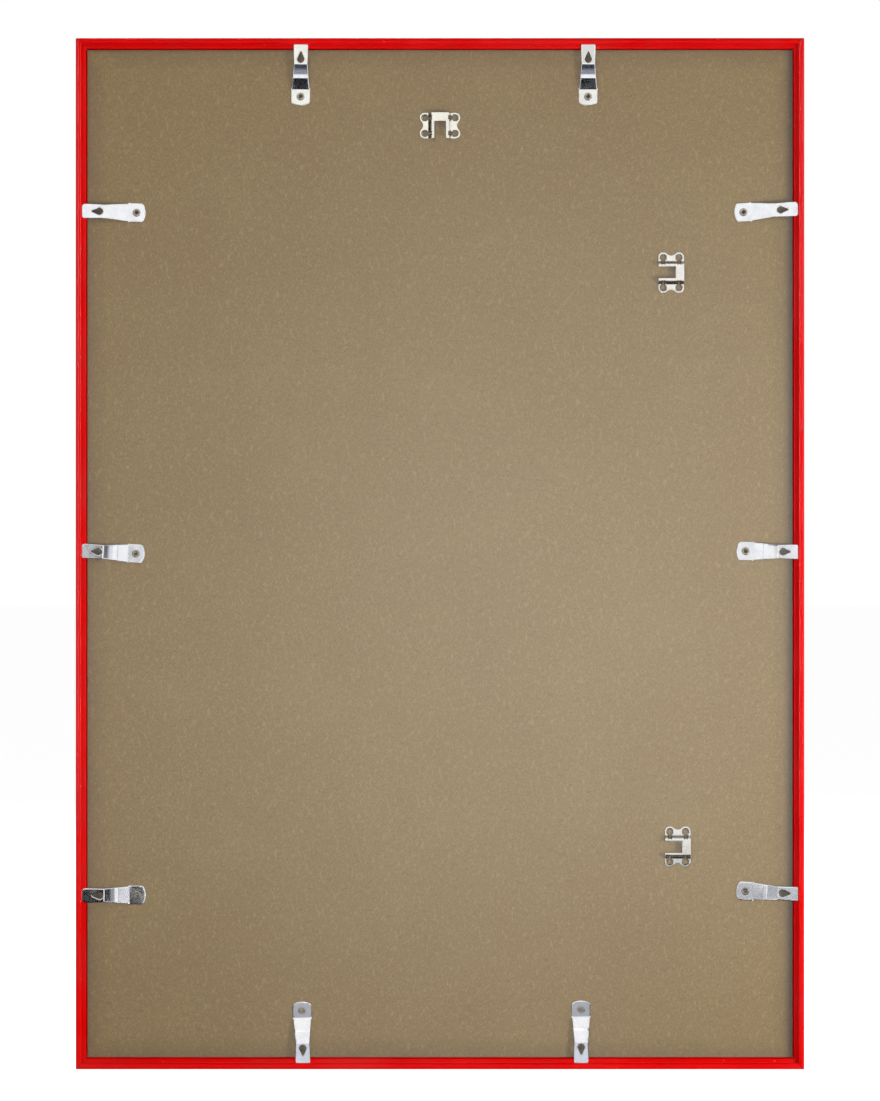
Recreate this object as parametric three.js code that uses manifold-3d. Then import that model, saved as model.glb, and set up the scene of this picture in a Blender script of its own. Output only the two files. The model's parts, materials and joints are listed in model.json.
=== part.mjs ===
// A poster frame for a 70 x 100 cm poster, in millimetres, as it hangs on a wall: its front faces -Y,
// its back faces +Y and +Z is up. The origin is the middle of the frame's bounding box.
// Left and right are those of someone who looks at the back, so left is +X.
//
// Four hollow plastic rails are mitred and joined by corner keys. The glazing, a blank poster and a
// hardboard back lie in their rebate. Ten sprung clips turn on eyelets in the board and tuck their
// tips into a groove round the rails, and three pressed hangers take a wall hook.

import * as THREE from 'three';
import { mergeVertices } from 'three/addons/utils/BufferGeometryUtils.js';
import Module from 'manifold-3d';

const wasm = await Module();
wasm.setup();

// Poster, and the stack of sheets that the lip holds
const posterWidth = 700;
const posterHeight = 1000;
const posterThickness = 0.3;
const glazingThickness = 2;
const boardThickness = 3;
const panelPlay = 1; // room beside the sheets, on each side
const seatGap = 0.2; // between faces that rest on each other

// Rail section, measured in from the outer face and back from the front
const railDepth = 18;
const railFaceWidth = 15.2;
const rebateInset = 10; // outer face to rebate wall
const lipBack = 3; // front to the seat of the glazing
const ledgeBack = 13.5; // front to the ledge that the clips reach over
const rimWidth = 6;
const grooveHeight = 1.5;
const railWall = 1.7;
const faceCrown = 0.7; // how far the front bulges
const frontRound = 2.6;
const lipRound = 1.2;
const rimRound = 0.8;
const mitreGap = 0.1;

// Corner keys, pressed into the hollow of two rails
const keyLeg = 42;
const keyFit = 0.25;
const barbStart = 14;
const barbPitch = 5;
const barbDepth = 0.5;
const barbCount = 5;

// Eyelets
const eyeletBore = 3.4;
const eyeletTube = 4.2;
const eyeletHead = 7.2;
const eyeletHeadThickness = 0.4;
const eyeletCollar = 7.8;
const eyeletCollarHeight = 0.95;
const eyeletFit = 0.15;
const pivotFit = 0.3;
const roundSides = 16;
const collarRound = 0.3; // edge of the rolled collar
const collarSag = 0.2; // crest of the collar to its shoulders
const collarFlare = 0.6; // depth of the bore's flared mouth

// Clips, measured from the eyelet towards the tip
const clipThickness = 0.8;
const tipFloat = 0.35; // tip to ledge
const tipTuck = 0.7; // least length of tip inside the groove
const tipRoom = 0.4; // least room between a tip and the bottom of the groove
const padBack = 9;
const padFront = 7.5;
const padWidth = 18.6;
const padEndBow = 1.8;
const padCorner = 1.7;
const shoulder = 0.6;
const steepRun = 9.5;
const steepRise = 3.3;
const shelfRun = 4.2;
const easyRun = 7.5;
const neckWidth = 13.4;
const tipWidth = 14.2;
const tipCorner = 4.5;
const keyholeWidth = 7;
const keyholePointWidth = 1.8;
const keyholeLength = 11.1;
const keyholeFromTip = 10.5;
const clipBendRadius = 1.6;
const clipCurveSteps = 5;

// Hangers
const hangerThickness = 0.9;
const hangerRise = 4.4;
const bridgeWidth = 17.2;
const bridgeOpening = 11.4;
const crossbarHeight = 8.6;
const riserRun = 2.5;
const toothPitchAcross = 30.4;
const toothPitchUp = 15.6;
const lobeRadius = 5;
const lobeSweep = 40; // degrees of each lobe past the horizontal, before the waist
const toothHole = 5.2;
const toothWidth = 2;
const toothLength = 2.2;
const toothFit = 0.15;
const stemWidth = 2.2;
const hangerBendRadius = 1.1;
const hangerCurveSteps = 7;

// Working values
const bendSteps = 2;
const railCurveSteps = 4;
const cutBeyond = 1; // how far a cutter stands out of what it cuts

// Where the clips sit: along the rail from its start (0), its middle (0.5) or its end (1), the inset of
// the eyelet from the outer face, and the small turn in degrees that each clip was left at
const sides = [
  {
    name: 'right',
    key: 'corner_key_bottom_right',
    turn: 0,
    corner: [-1, -1],
    clips: [
      { name: 'right_lower', anchor: 0, offset: 176, inset: 57.8, turn: -3.2 },
      { name: 'right_middle', anchor: 0.5, offset: 2.5, inset: 57.7, turn: -0.9 },
      { name: 'right_upper', anchor: 1, offset: -172, inset: 59.8, turn: 3.2 },
    ],
  },
  {
    name: 'bottom',
    key: 'corner_key_bottom_left',
    turn: -90,
    corner: [1, -1],
    clips: [
      { name: 'bottom_left', anchor: 0, offset: 224, inset: 57.2, turn: 1.2 },
      { name: 'bottom_right', anchor: 1, offset: -221, inset: 58.3, turn: 0.1 },
    ],
  },
  {
    name: 'left',
    key: 'corner_key_top_left',
    turn: 180,
    corner: [1, 1],
    clips: [
      { name: 'left_upper', anchor: 0, offset: 172.5, inset: 59.7, turn: -1.5 },
      { name: 'left_middle', anchor: 0.5, offset: 0, inset: 58.8, turn: -3 },
      { name: 'left_lower', anchor: 1, offset: -172, inset: 59.9, turn: 0 },
    ],
  },
  {
    name: 'top',
    key: 'corner_key_top_right',
    turn: 90,
    corner: [-1, 1],
    clips: [
      { name: 'top_right', anchor: 0, offset: 214, inset: 57.2, turn: -0.1 },
      { name: 'top_left', anchor: 1, offset: -222.5, inset: 57.2, turn: -0.6 },
    ],
  },
];

// Where the hangers sit, from the board's middle or from its edges, and which way their crossbar points
const hangers = [
  { name: 'hanger_top', edge: [0, 1], offset: [0, -75], turn: 0 },
  { name: 'hanger_side_upper', edge: [-1, 1], offset: [120.5, -221], turn: -90 },
  { name: 'hanger_side_lower', edge: [-1, -1], offset: [114, 209], turn: -90 },
];

// Sizes that follow
const insets = sides.flatMap(({ clips }) => clips.map(({ inset }) => inset));
const frameWidth = posterWidth + 2 * (panelPlay + rebateInset);
const frameHeight = posterHeight + 2 * (panelPlay + rebateInset);
const glazingFront = lipBack + seatGap;
const posterFront = glazingFront + glazingThickness + seatGap;
const boardFront = posterFront + posterThickness + seatGap;
const boardBack = boardFront + boardThickness;
const grooveRoof = ledgeBack + grooveHeight;
const clipSeat = boardBack + seatGap;
const clipRise = ledgeBack + tipFloat - clipSeat;
const tipReach = Math.max(...insets) - rimWidth + tipTuck;
const grooveDepth = Math.max(...insets) - Math.min(...insets) + tipTuck + tipRoom;
const slopesEnd = padFront + steepRun + shelfRun + easyRun;
const hangerWidth = toothPitchAcross + 2 * lobeRadius;
const hangerHeight = toothPitchUp + 2 * lobeRadius;

const degrees = THREE.MathUtils.degToRad;

// Finishes
const finishes = {
  redPlastic: new THREE.MeshStandardMaterial({ color: 0xd20306, roughness: 0.22 }),
  keyPlastic: new THREE.MeshStandardMaterial({ color: 0x2b2b2d, roughness: 0.55 }),
  hardboard: new THREE.MeshStandardMaterial({ color: 0x9a8a68, roughness: 0.85 }),
  paper: new THREE.MeshStandardMaterial({ color: 0xf2f0ea, roughness: 0.9 }),
  glazing: new THREE.MeshStandardMaterial({
    color: 0xe6f2f0,
    roughness: 0.05,
    transparent: true,
    opacity: 0.3,
  }),
  springSteel: new THREE.MeshStandardMaterial({ color: 0xe4e7ea, roughness: 0.25, metalness: 1 }),
  eyeletSteel: new THREE.MeshStandardMaterial({ color: 0xd5d4cd, roughness: 0.3, metalness: 1 }),
  pressedSteel: new THREE.MeshStandardMaterial({ color: 0xe9e8e2, roughness: 0.28, metalness: 1 }),
};

/** Turns a closed geometry into a solid that can be joined and cut. */
function toSolid(geometry) {
  const bare = geometry.clone();
  bare.deleteAttribute('normal');
  bare.deleteAttribute('uv');
  const merged = mergeVertices(bare, 1e-4);
  const corners = merged.index.array;
  const triangles = [];
  for (let i = 0; i < corners.length; i += 3) {
    const [a, b, c] = corners.slice(i, i + 3);
    if (a !== b && b !== c && c !== a) {
      triangles.push(a, b, c);
    }
  }
  return new wasm.Manifold(
    new wasm.Mesh({
      numProp: 3,
      vertProperties: new Float32Array(merged.attributes.position.array),
      triVerts: new Uint32Array(triangles),
    }),
  );
}

/** Turns a solid back into a geometry with flat faces. */
function toGeometry(solid) {
  const mesh = solid.getMesh();
  const geometry = new THREE.BufferGeometry();
  geometry.setAttribute('position', new THREE.BufferAttribute(mesh.vertProperties, 3));
  geometry.setIndex(new THREE.BufferAttribute(mesh.triVerts, 1));
  const flat = geometry.toNonIndexed();
  flat.computeVertexNormals();
  return flat;
}

/** Extrudes an outline drawn across X and Z, from one height in Y to another. */
function slab(outline, bottom, top, curveSegments) {
  const slabGeometry = new THREE.ExtrudeGeometry(outline, {
    depth: top - bottom,
    bevelEnabled: false,
    curveSegments,
  });
  return slabGeometry.rotateX(Math.PI / 2).translate(0, top, 0);
}

/** An upright round bar between two heights in Y. */
function roundBar(diameter, bottom, top) {
  const bar = new THREE.CylinderGeometry(diameter / 2, diameter / 2, top - bottom, roundSides);
  return bar.translate(0, (top + bottom) / 2, 0);
}

/** A block given by its middle and its size. */
function block(middle, size) {
  return new THREE.BoxGeometry(...size).translate(...middle);
}

/** The side view of a folded strip of even thickness: straight runs joined by round bends. */
function foldedStrip(corners, thickness, bendRadius) {
  const top = [];
  const bottom = [];
  const addPoint = (point, direction) => {
    const normal = new THREE.Vector2(-direction.y, direction.x).normalize();
    top.push(point.clone().addScaledVector(normal, thickness / 2));
    bottom.unshift(point.clone().addScaledVector(normal, -thickness / 2));
  };
  corners.forEach((corner, i) => {
    const before = corners[i - 1];
    const after = corners[i + 1];
    if (!before || !after) {
      const direction = before ? corner.clone().sub(before) : after.clone().sub(corner);
      addPoint(corner, direction);
      return;
    }
    const arriving = corner.clone().sub(before).normalize();
    const leaving = after.clone().sub(corner).normalize();
    const setBack = bendRadius * Math.tan(Math.acos(arriving.dot(leaving)) / 2);
    const bend = new THREE.QuadraticBezierCurve(
      corner.clone().addScaledVector(arriving, -setBack),
      corner,
      corner.clone().addScaledVector(leaving, setBack),
    );
    for (let step = 0; step <= bendSteps; step++) {
      addPoint(bend.getPoint(step / bendSteps), bend.getTangent(step / bendSteps));
    }
  });
  return new THREE.Shape([...top, ...bottom]);
}

/** Sheet metal: the folded side view, cut to the flat outline and the holes punched from above. */
function foldedSheet(sideView, outline, holes, width, height, curveSegments) {
  const depth = width + 2 * cutBeyond;
  const folded = new THREE.ExtrudeGeometry(sideView, { depth, bevelEnabled: false });
  folded.translate(0, 0, -depth / 2);
  const punch = (shape) => toSolid(slab(shape, -cutBeyond, height + cutBeyond, curveSegments));
  return holes.reduce(
    (plate, hole) => plate.subtract(punch(hole)),
    toSolid(folded).intersect(punch(outline)),
  );
}

// Rails and corner keys

/** The rail's section: X runs in from the outer face, Y back from the front. */
function railSection() {
  const section = new THREE.Shape();
  const grooveBottom = rimWidth - grooveDepth;
  section.moveTo(0, frontRound + faceCrown);
  section.lineTo(0, railDepth - rimRound);
  section.quadraticCurveTo(0, railDepth, rimRound, railDepth);
  section.lineTo(rimWidth - rimRound, railDepth);
  section.quadraticCurveTo(rimWidth, railDepth, rimWidth, railDepth - rimRound);
  section.lineTo(rimWidth, grooveRoof);
  section.lineTo(grooveBottom, grooveRoof);
  section.lineTo(grooveBottom, ledgeBack);
  section.lineTo(rebateInset - rimRound, ledgeBack);
  section.quadraticCurveTo(rebateInset, ledgeBack, rebateInset, ledgeBack - rimRound);
  section.lineTo(rebateInset, lipBack);
  section.lineTo(railFaceWidth, lipBack);
  section.lineTo(railFaceWidth, faceCrown + lipRound);
  section.quadraticCurveTo(railFaceWidth, faceCrown, railFaceWidth - lipRound, faceCrown);
  section.quadraticCurveTo((railFaceWidth - lipRound + frontRound) / 2, -faceCrown, frontRound, faceCrown);
  section.quadraticCurveTo(0, faceCrown, 0, frontRound + faceCrown);

  const hollow = new THREE.Path();
  hollow.moveTo(railWall, lipBack);
  hollow.lineTo(rebateInset - railWall, lipBack);
  hollow.lineTo(rebateInset - railWall, ledgeBack - railWall);
  hollow.lineTo(railWall, ledgeBack - railWall);
  section.holes.push(hollow);
  return section;
}

/** A rail along Z, with each end set back by every point's own distance from the outer face. */
function mitredRail(length) {
  const rail = new THREE.ExtrudeGeometry(railSection(), {
    depth: length,
    bevelEnabled: false,
    curveSegments: railCurveSteps,
  });
  const points = rail.attributes.position;
  for (let i = 0; i < points.count; i++) {
    const setBack = points.getX(i) + mitreGap / Math.SQRT2;
    points.setZ(i, points.getZ(i) > length / 2 ? length - setBack : setBack);
  }
  rail.computeVertexNormals();
  return rail;
}

/** One barbed edge of a key's leg, from the corner to the leg's end. */
function barbedEdge(crest, root) {
  const edge = [];
  for (let barb = 0; barb < barbCount; barb++) {
    const start = barbStart + barb * barbPitch;
    edge.push([start, root], [start, crest]);
  }
  edge.push([barbStart + barbCount * barbPitch, root], [keyLeg, root]);
  return edge;
}

/** An angled key whose barbs let it slide into both rails and not out again. */
function cornerKey() {
  const outer = railWall + keyFit;
  const inner = rebateInset - railWall - keyFit;
  const outerEdge = barbedEdge(outer, outer + barbDepth);
  const innerEdge = barbedEdge(inner, inner - barbDepth);
  const leg = [[outer, outer], ...outerEdge, ...innerEdge.reverse()];
  const otherLeg = leg.slice(1).map(([x, z]) => [z, x]).reverse();
  const outline = [...leg, [inner, inner], ...otherLeg];
  const shape = new THREE.Shape(outline.map(([x, z]) => new THREE.Vector2(x, z)));
  return slab(shape, lipBack + keyFit, ledgeBack - railWall - keyFit, 1);
}

// Clips and their eyelets, with the eyelet's axis along Y and the tip towards -X

/** A hole that is round at one end and narrows to a small round point towards +X. */
function teardrop(pointX, length, width, pointWidth) {
  const bigRadius = width / 2;
  const smallRadius = pointWidth / 2;
  const bigX = pointX - length + bigRadius;
  const smallX = pointX - smallRadius;
  const touch = Math.acos((bigRadius - smallRadius) / (smallX - bigX));
  const hole = new THREE.Shape();
  hole.absarc(bigX, 0, bigRadius, touch, 2 * Math.PI - touch, false);
  hole.absarc(smallX, 0, smallRadius, -touch, touch, false);
  return hole;
}

/** The clip's outline from above: bowed pad, shoulders, a taper to the neck and a rounded tip. */
function clipOutline() {
  const halfPad = padWidth / 2;
  const halfNeck = neckWidth / 2;
  const halfTip = tipWidth / 2;
  const bowStart = -padBack + padEndBow;
  const flank = [
    [padFront, halfPad],
    [padFront + shoulder, halfPad - shoulder],
    [slopesEnd, halfNeck],
    [tipReach - keyholeFromTip, halfTip],
    [tipReach - tipCorner, halfTip],
  ];
  const outline = new THREE.Shape();
  outline.moveTo(bowStart, -halfPad + padCorner);
  outline.quadraticCurveTo(-padBack - padEndBow, 0, bowStart, halfPad - padCorner);
  outline.quadraticCurveTo(bowStart + padCorner / 2, halfPad, bowStart + 2 * padCorner, halfPad);
  flank.forEach(([x, z]) => outline.lineTo(x, z));
  outline.quadraticCurveTo(tipReach, halfTip, tipReach, halfTip - tipCorner);
  outline.lineTo(tipReach, -halfTip + tipCorner);
  outline.quadraticCurveTo(tipReach, -halfTip, tipReach - tipCorner, -halfTip);
  flank.reverse().forEach(([x, z]) => outline.lineTo(x, -z));
  outline.lineTo(bowStart + 2 * padCorner, -halfPad);
  outline.quadraticCurveTo(bowStart + padCorner / 2, -halfPad, bowStart, -halfPad + padCorner);
  return outline;
}

/** A clip with its pad's underside at Y = 0. */
function clip() {
  const middle = clipThickness / 2;
  const corners = [
    [-padBack - cutBeyond, 0],
    [padFront, 0],
    [padFront + steepRun, steepRise],
    [padFront + steepRun + shelfRun, steepRise],
    [slopesEnd, clipRise],
    [tipReach + cutBeyond, clipRise],
  ].map(([x, y]) => new THREE.Vector2(x, y + middle));
  const sideView = foldedStrip(corners, clipThickness, clipBendRadius);
  const keyhole = teardrop(tipReach - keyholeFromTip, keyholeLength, keyholeWidth, keyholePointWidth);
  const height = clipRise + clipThickness;
  const plate = foldedSheet(sideView, clipOutline(), [keyhole], padWidth, height, clipCurveSteps);
  const pivotBore = eyeletTube + 2 * pivotFit;
  const pivotHole = toSolid(roundBar(pivotBore, -cutBeyond, clipThickness + cutBeyond));
  return toGeometry(plate.subtract(pivotHole)).rotateY(Math.PI);
}

/** A tubular eyelet: flat head under the board, tube through board and clip, rolled collar on top. */
function eyelet() {
  const bore = eyeletBore / 2;
  const tube = eyeletTube / 2;
  const head = eyeletHead / 2;
  const collar = eyeletCollar / 2;
  const headFront = -boardThickness + seatGap / 2;
  const collarSeat = seatGap + clipThickness + seatGap;
  const collarTop = collarSeat + eyeletCollarHeight;
  const crest = (bore + collar) / 2;
  const profile = [
    [bore, headFront],
    [head, headFront],
    [head, headFront + eyeletHeadThickness],
    [tube, headFront + eyeletHeadThickness],
    [tube, collarSeat],
    [collar - collarRound, collarSeat],
    [collar, collarSeat + collarRound],
    [collar - collarRound, collarTop - collarSag],
    [crest, collarTop],
    [bore + collarRound, collarTop - collarSag],
    [bore, collarTop - collarFlare],
    [bore, headFront],
  ];
  return new THREE.LatheGeometry(profile.map(([r, y]) => new THREE.Vector2(r, y)), roundSides);
}

// Hangers, with their flanges' underside at Y = 0 and their crossbar towards +Z

/** The four teeth's places: each side of the bridge, and above and below. */
const toothPlaces = [-1, 1].flatMap((across) => [-1, 1].map((up) => ({
  across,
  x: (across * toothPitchAcross) / 2,
  z: (up * toothPitchUp) / 2,
})));

/** A round hole with a stem that runs in through the riser, left where a tooth was bent down. */
function toothSlot({ across, x, z }) {
  const radius = toothHole / 2;
  const half = stemWidth / 2;
  const mouth = Math.asin(half / radius);
  const stemEnd = (across * bridgeWidth) / 2;
  const start = across > 0 ? Math.PI + mouth : mouth;
  const slot = new THREE.Shape();
  slot.absarc(x, z, radius, start, start + 2 * (Math.PI - mouth), false);
  slot.lineTo(stemEnd, z + across * half);
  slot.lineTo(stemEnd, z - across * half);
  return slot;
}

/** The hanger's outline from above: two flanges with round lobes and a waist, and the open bridge. */
function hangerOutline() {
  const lobeX = toothPitchAcross / 2;
  const lobeZ = toothPitchUp / 2;
  const sweep = degrees(lobeSweep);
  const waistStartX = lobeX + lobeRadius * Math.cos(sweep);
  const waistStartZ = lobeZ - lobeRadius * Math.sin(sweep);
  const waistX = waistStartX - waistStartZ * Math.tan(sweep);
  const halfOpening = bridgeOpening / 2;
  const crossbarEdge = hangerHeight / 2 - crossbarHeight;
  const outline = new THREE.Shape();
  outline.moveTo(halfOpening, -hangerHeight / 2);
  outline.lineTo(lobeX, -hangerHeight / 2);
  outline.absarc(lobeX, -lobeZ, lobeRadius, -Math.PI / 2, sweep, false);
  outline.quadraticCurveTo(waistX, 0, waistStartX, waistStartZ);
  outline.absarc(lobeX, lobeZ, lobeRadius, -sweep, Math.PI / 2, false);
  outline.absarc(-lobeX, lobeZ, lobeRadius, Math.PI / 2, Math.PI + sweep, false);
  outline.quadraticCurveTo(-waistX, 0, -waistStartX, -waistStartZ);
  outline.absarc(-lobeX, -lobeZ, lobeRadius, Math.PI - sweep, 1.5 * Math.PI, false);
  outline.lineTo(-halfOpening, -hangerHeight / 2);
  outline.lineTo(-halfOpening, crossbarEdge);
  outline.lineTo(halfOpening, crossbarEdge);
  return outline;
}

/** A pointed tooth, bent down at the outer end of its hole. */
function tooth({ across, x, z }) {
  const half = toothWidth / 2;
  const blade = new THREE.Shape([
    new THREE.Vector2(-half, hangerThickness / 2),
    new THREE.Vector2(-half, half - seatGap - toothLength),
    new THREE.Vector2(0, -seatGap - toothLength),
    new THREE.Vector2(half, half - seatGap - toothLength),
    new THREE.Vector2(half, hangerThickness / 2),
  ]);
  const geometry = new THREE.ExtrudeGeometry(blade, { depth: hangerThickness, bevelEnabled: false });
  geometry.rotateY(Math.PI / 2);
  return geometry.translate(x + (across * toothHole) / 2 - hangerThickness / 2, 0, z);
}

/** A pressed hanger: flanges flat on the board, risers, and a bridge that a hook goes under. */
function hanger() {
  const flangeX = bridgeWidth / 2 + riserRun;
  const bridgeX = bridgeWidth / 2;
  const middle = hangerThickness / 2;
  const corners = [
    [-hangerWidth / 2 - cutBeyond, 0],
    [-flangeX, 0],
    [-bridgeX, hangerRise],
    [bridgeX, hangerRise],
    [flangeX, 0],
    [hangerWidth / 2 + cutBeyond, 0],
  ].map(([x, y]) => new THREE.Vector2(x, y + middle));
  const sideView = foldedStrip(corners, hangerThickness, hangerBendRadius);
  const slots = toothPlaces.map(toothSlot);
  const height = hangerRise + hangerThickness;
  const plate = foldedSheet(sideView, hangerOutline(), slots, hangerHeight, height, hangerCurveSteps);
  return toGeometry(toothPlaces.reduce((solid, place) => solid.add(toSolid(tooth(place))), plate));
}

/** The pocket that a tooth is pressed into, as a cutter that stands out of the board. */
function toothPocket({ across, x, z }) {
  const depth = toothLength + seatGap;
  return block(
    [x + (across * toothHole) / 2, (cutBeyond - depth) / 2, z],
    [hangerThickness + 2 * toothFit, cutBeyond + depth, toothWidth + 2 * toothFit],
  );
}

// Sheets

/** A flat sheet between two depths, measured back from the frame's front. */
function sheet(front, thickness) {
  const middle = front + thickness / 2 - railDepth / 2;
  return block([0, middle, 0], [posterWidth, thickness, posterHeight]);
}

/** The board, with a stepped hole for each eyelet and a pocket for each hanger's tooth. */
function backboard(eyeletPlaces, hangerPlaces) {
  let board = toSolid(sheet(boardFront, boardThickness));
  const headRoom = eyeletHeadThickness + seatGap + seatGap / 2;
  const below = -boardThickness - cutBeyond;
  for (const place of eyeletPlaces) {
    const hole = roundBar(eyeletTube + 2 * eyeletFit, below, cutBeyond);
    const recess = roundBar(eyeletHead + 2 * eyeletFit, below, -boardThickness + headRoom);
    board = board.subtract(toSolid(hole.applyMatrix4(place)));
    board = board.subtract(toSolid(recess.applyMatrix4(place)));
  }
  for (const place of hangerPlaces) {
    for (const toothPlace of toothPlaces) {
      board = board.subtract(toSolid(toothPocket(toothPlace).applyMatrix4(place)));
    }
  }
  return toGeometry(board);
}

// Assembly

function piece(name, geometry, material) {
  const mesh = new THREE.Mesh(geometry, material);
  mesh.name = name;
  return mesh;
}

const posterFrame = new THREE.Group();
const eyeletPlaces = [];
const hangerPlaces = [];

const keyShape = cornerKey();
const clipShape = clip();
const eyeletShape = eyelet();
const hangerShape = hanger();

for (const { name, turn, corner, key, clips } of sides) {
  const length = turn % 180 === 0 ? frameHeight : frameWidth;
  const side = new THREE.Group();
  side.position.set((corner[0] * frameWidth) / 2, -railDepth / 2, (corner[1] * frameHeight) / 2);
  side.rotation.y = degrees(turn);
  side.add(piece(`rail_${name}`, mitredRail(length), finishes.redPlastic));
  side.add(piece(key, keyShape, finishes.keyPlastic));
  posterFrame.add(side);

  for (const { name: clipName, anchor, offset, inset, turn: clipTurn } of clips) {
    const pivot = new THREE.Group();
    pivot.position.set(inset, boardBack, anchor * length + offset);
    side.add(pivot);
    pivot.add(piece(`eyelet_${clipName}`, eyeletShape, finishes.eyeletSteel));

    const clipPiece = piece(`clip_${clipName}`, clipShape, finishes.springSteel);
    clipPiece.position.y = seatGap;
    clipPiece.rotation.y = degrees(clipTurn);
    pivot.add(clipPiece);
    pivot.updateWorldMatrix(true, false);
    eyeletPlaces.push(pivot.matrixWorld);
  }
}

for (const { name, edge, offset, turn } of hangers) {
  const seat = new THREE.Group();
  const across = (edge[0] * posterWidth) / 2 + offset[0];
  const up = (edge[1] * posterHeight) / 2 + offset[1];
  seat.position.set(across, boardBack - railDepth / 2, up);
  seat.rotation.y = degrees(turn);
  posterFrame.add(seat);

  const hangerPiece = piece(name, hangerShape, finishes.pressedSteel);
  hangerPiece.position.y = seatGap;
  seat.add(hangerPiece);
  seat.updateWorldMatrix(true, false);
  hangerPlaces.push(seat.matrixWorld);
}

posterFrame.add(piece('glazing', sheet(glazingFront, glazingThickness), finishes.glazing));
posterFrame.add(piece('poster_sheet', sheet(posterFront, posterThickness), finishes.paper));
posterFrame.add(piece('backboard', backboard(eyeletPlaces, hangerPlaces), finishes.hardboard));

export default posterFrame;
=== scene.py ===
"""Looks of the poster frame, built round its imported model.

The pieces are worked out in millimetres, in the model's own frame, and turned into metres when their
meshes are made. Left and right are those of someone who looks at the back, so left is +X.
"""

import json
import logging
import math
from abc import ABC, abstractmethod
from collections.abc import Callable
from dataclasses import dataclass, field
from enum import Enum
from itertools import product
from typing import ClassVar

import bpy
import numpy as np
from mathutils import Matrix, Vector
from mathutils.geometry import delaunay_2d_cdt
from numpy.typing import NDArray

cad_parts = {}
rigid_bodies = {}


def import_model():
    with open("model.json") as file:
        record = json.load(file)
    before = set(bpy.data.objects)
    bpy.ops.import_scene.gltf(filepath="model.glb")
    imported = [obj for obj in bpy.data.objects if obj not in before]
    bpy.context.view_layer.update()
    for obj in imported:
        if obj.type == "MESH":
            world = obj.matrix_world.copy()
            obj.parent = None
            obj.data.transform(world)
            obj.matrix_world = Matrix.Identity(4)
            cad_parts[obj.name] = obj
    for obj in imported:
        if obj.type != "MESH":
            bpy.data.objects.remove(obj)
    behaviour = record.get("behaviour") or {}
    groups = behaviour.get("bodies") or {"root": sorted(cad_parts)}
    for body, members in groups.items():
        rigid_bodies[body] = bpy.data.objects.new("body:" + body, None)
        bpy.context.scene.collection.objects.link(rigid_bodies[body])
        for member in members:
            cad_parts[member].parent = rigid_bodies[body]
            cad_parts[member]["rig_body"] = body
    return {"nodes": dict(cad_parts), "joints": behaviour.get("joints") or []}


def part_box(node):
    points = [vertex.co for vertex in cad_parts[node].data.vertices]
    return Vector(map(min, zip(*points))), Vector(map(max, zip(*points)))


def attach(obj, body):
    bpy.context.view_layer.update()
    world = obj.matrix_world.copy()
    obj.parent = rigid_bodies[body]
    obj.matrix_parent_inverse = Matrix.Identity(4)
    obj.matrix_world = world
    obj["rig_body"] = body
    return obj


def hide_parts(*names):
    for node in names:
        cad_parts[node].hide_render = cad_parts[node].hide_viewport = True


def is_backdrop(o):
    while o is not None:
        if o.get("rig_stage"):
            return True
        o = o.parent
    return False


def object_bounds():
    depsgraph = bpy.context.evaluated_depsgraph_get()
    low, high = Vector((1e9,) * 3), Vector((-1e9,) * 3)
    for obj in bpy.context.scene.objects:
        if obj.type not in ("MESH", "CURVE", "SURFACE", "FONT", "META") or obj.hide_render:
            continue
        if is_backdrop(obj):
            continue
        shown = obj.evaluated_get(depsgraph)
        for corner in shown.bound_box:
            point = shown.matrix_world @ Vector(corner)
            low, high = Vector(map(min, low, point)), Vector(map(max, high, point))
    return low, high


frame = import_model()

LOG = logging.getLogger("poster_frame")
Points = NDArray[np.float64]
Faces = NDArray[np.int64]
Node = bpy.types.Node
Socket = bpy.types.NodeSocket
Sockets = dict[str, bpy.types.NodeSocket]
Tree = bpy.types.NodeTree
Triple = tuple[float, float, float]
Colour = tuple[float, float, float, float]
WHITE: Colour = (1.0, 1.0, 1.0, 1.0)
MM = 0.001
FLOOR_GAP = 0.0002  # metres between the frame and the floor


class Side(Enum):
    """A side of the frame, by the turn in degrees about +Y that brings the right side to it."""

    RIGHT = 0
    BOTTOM = -90
    LEFT = 180
    TOP = 90


def srgb(*seen: float) -> Colour:
    """Turns a colour as seen on a screen into the linear light that a shader takes.

    Args:
        *seen: Its red, green and blue parts, 0 to 255.

    Returns:
        The linear colour, with full alpha.
    """
    share = np.array(seen) / 255
    linear = np.where(share <= 0.04045, share / 12.92, ((share + 0.055) / 1.055) ** 2.4)
    return (*linear.tolist(), 1.0)


def box_of(node: str) -> list[Points]:
    """The low and the high corner of a node's box, in millimetres."""
    return [np.array(corner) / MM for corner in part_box(node)]


# Curves and surfaces


def quadratic(start: tuple, control: tuple, end: tuple, steps: int = 8) -> Points:
    """Points of a quadratic curve: (1 - t)^2 start + 2 t (1 - t) control + t^2 end, without its end.

    Args:
        start: First point.
        control: Point that the curve leans towards.
        end: Point that the curve arrives at.
        steps: How many points.

    Returns:
        The points, one a row.
    """
    t = np.linspace(0, 1, steps, endpoint=False)[:, None]
    return (1 - t) ** 2 * np.array(start) + 2 * t * (1 - t) * np.array(control) + t**2 * np.array(end)


def arc(centre: tuple, radius: float, start: float, end: float, steps: int) -> Points:
    """Points of an arc: centre + radius (cos a, sin a), with a from start to end.

    Args:
        centre: Middle of the arc.
        radius: Its radius.
        start: First angle in degrees.
        end: Last angle in degrees.
        steps: How many points.

    Returns:
        The points, one a row.
    """
    angle = np.radians(np.linspace(start, end, steps))
    return np.array(centre) + radius * np.column_stack([np.cos(angle), np.sin(angle)])


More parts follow.
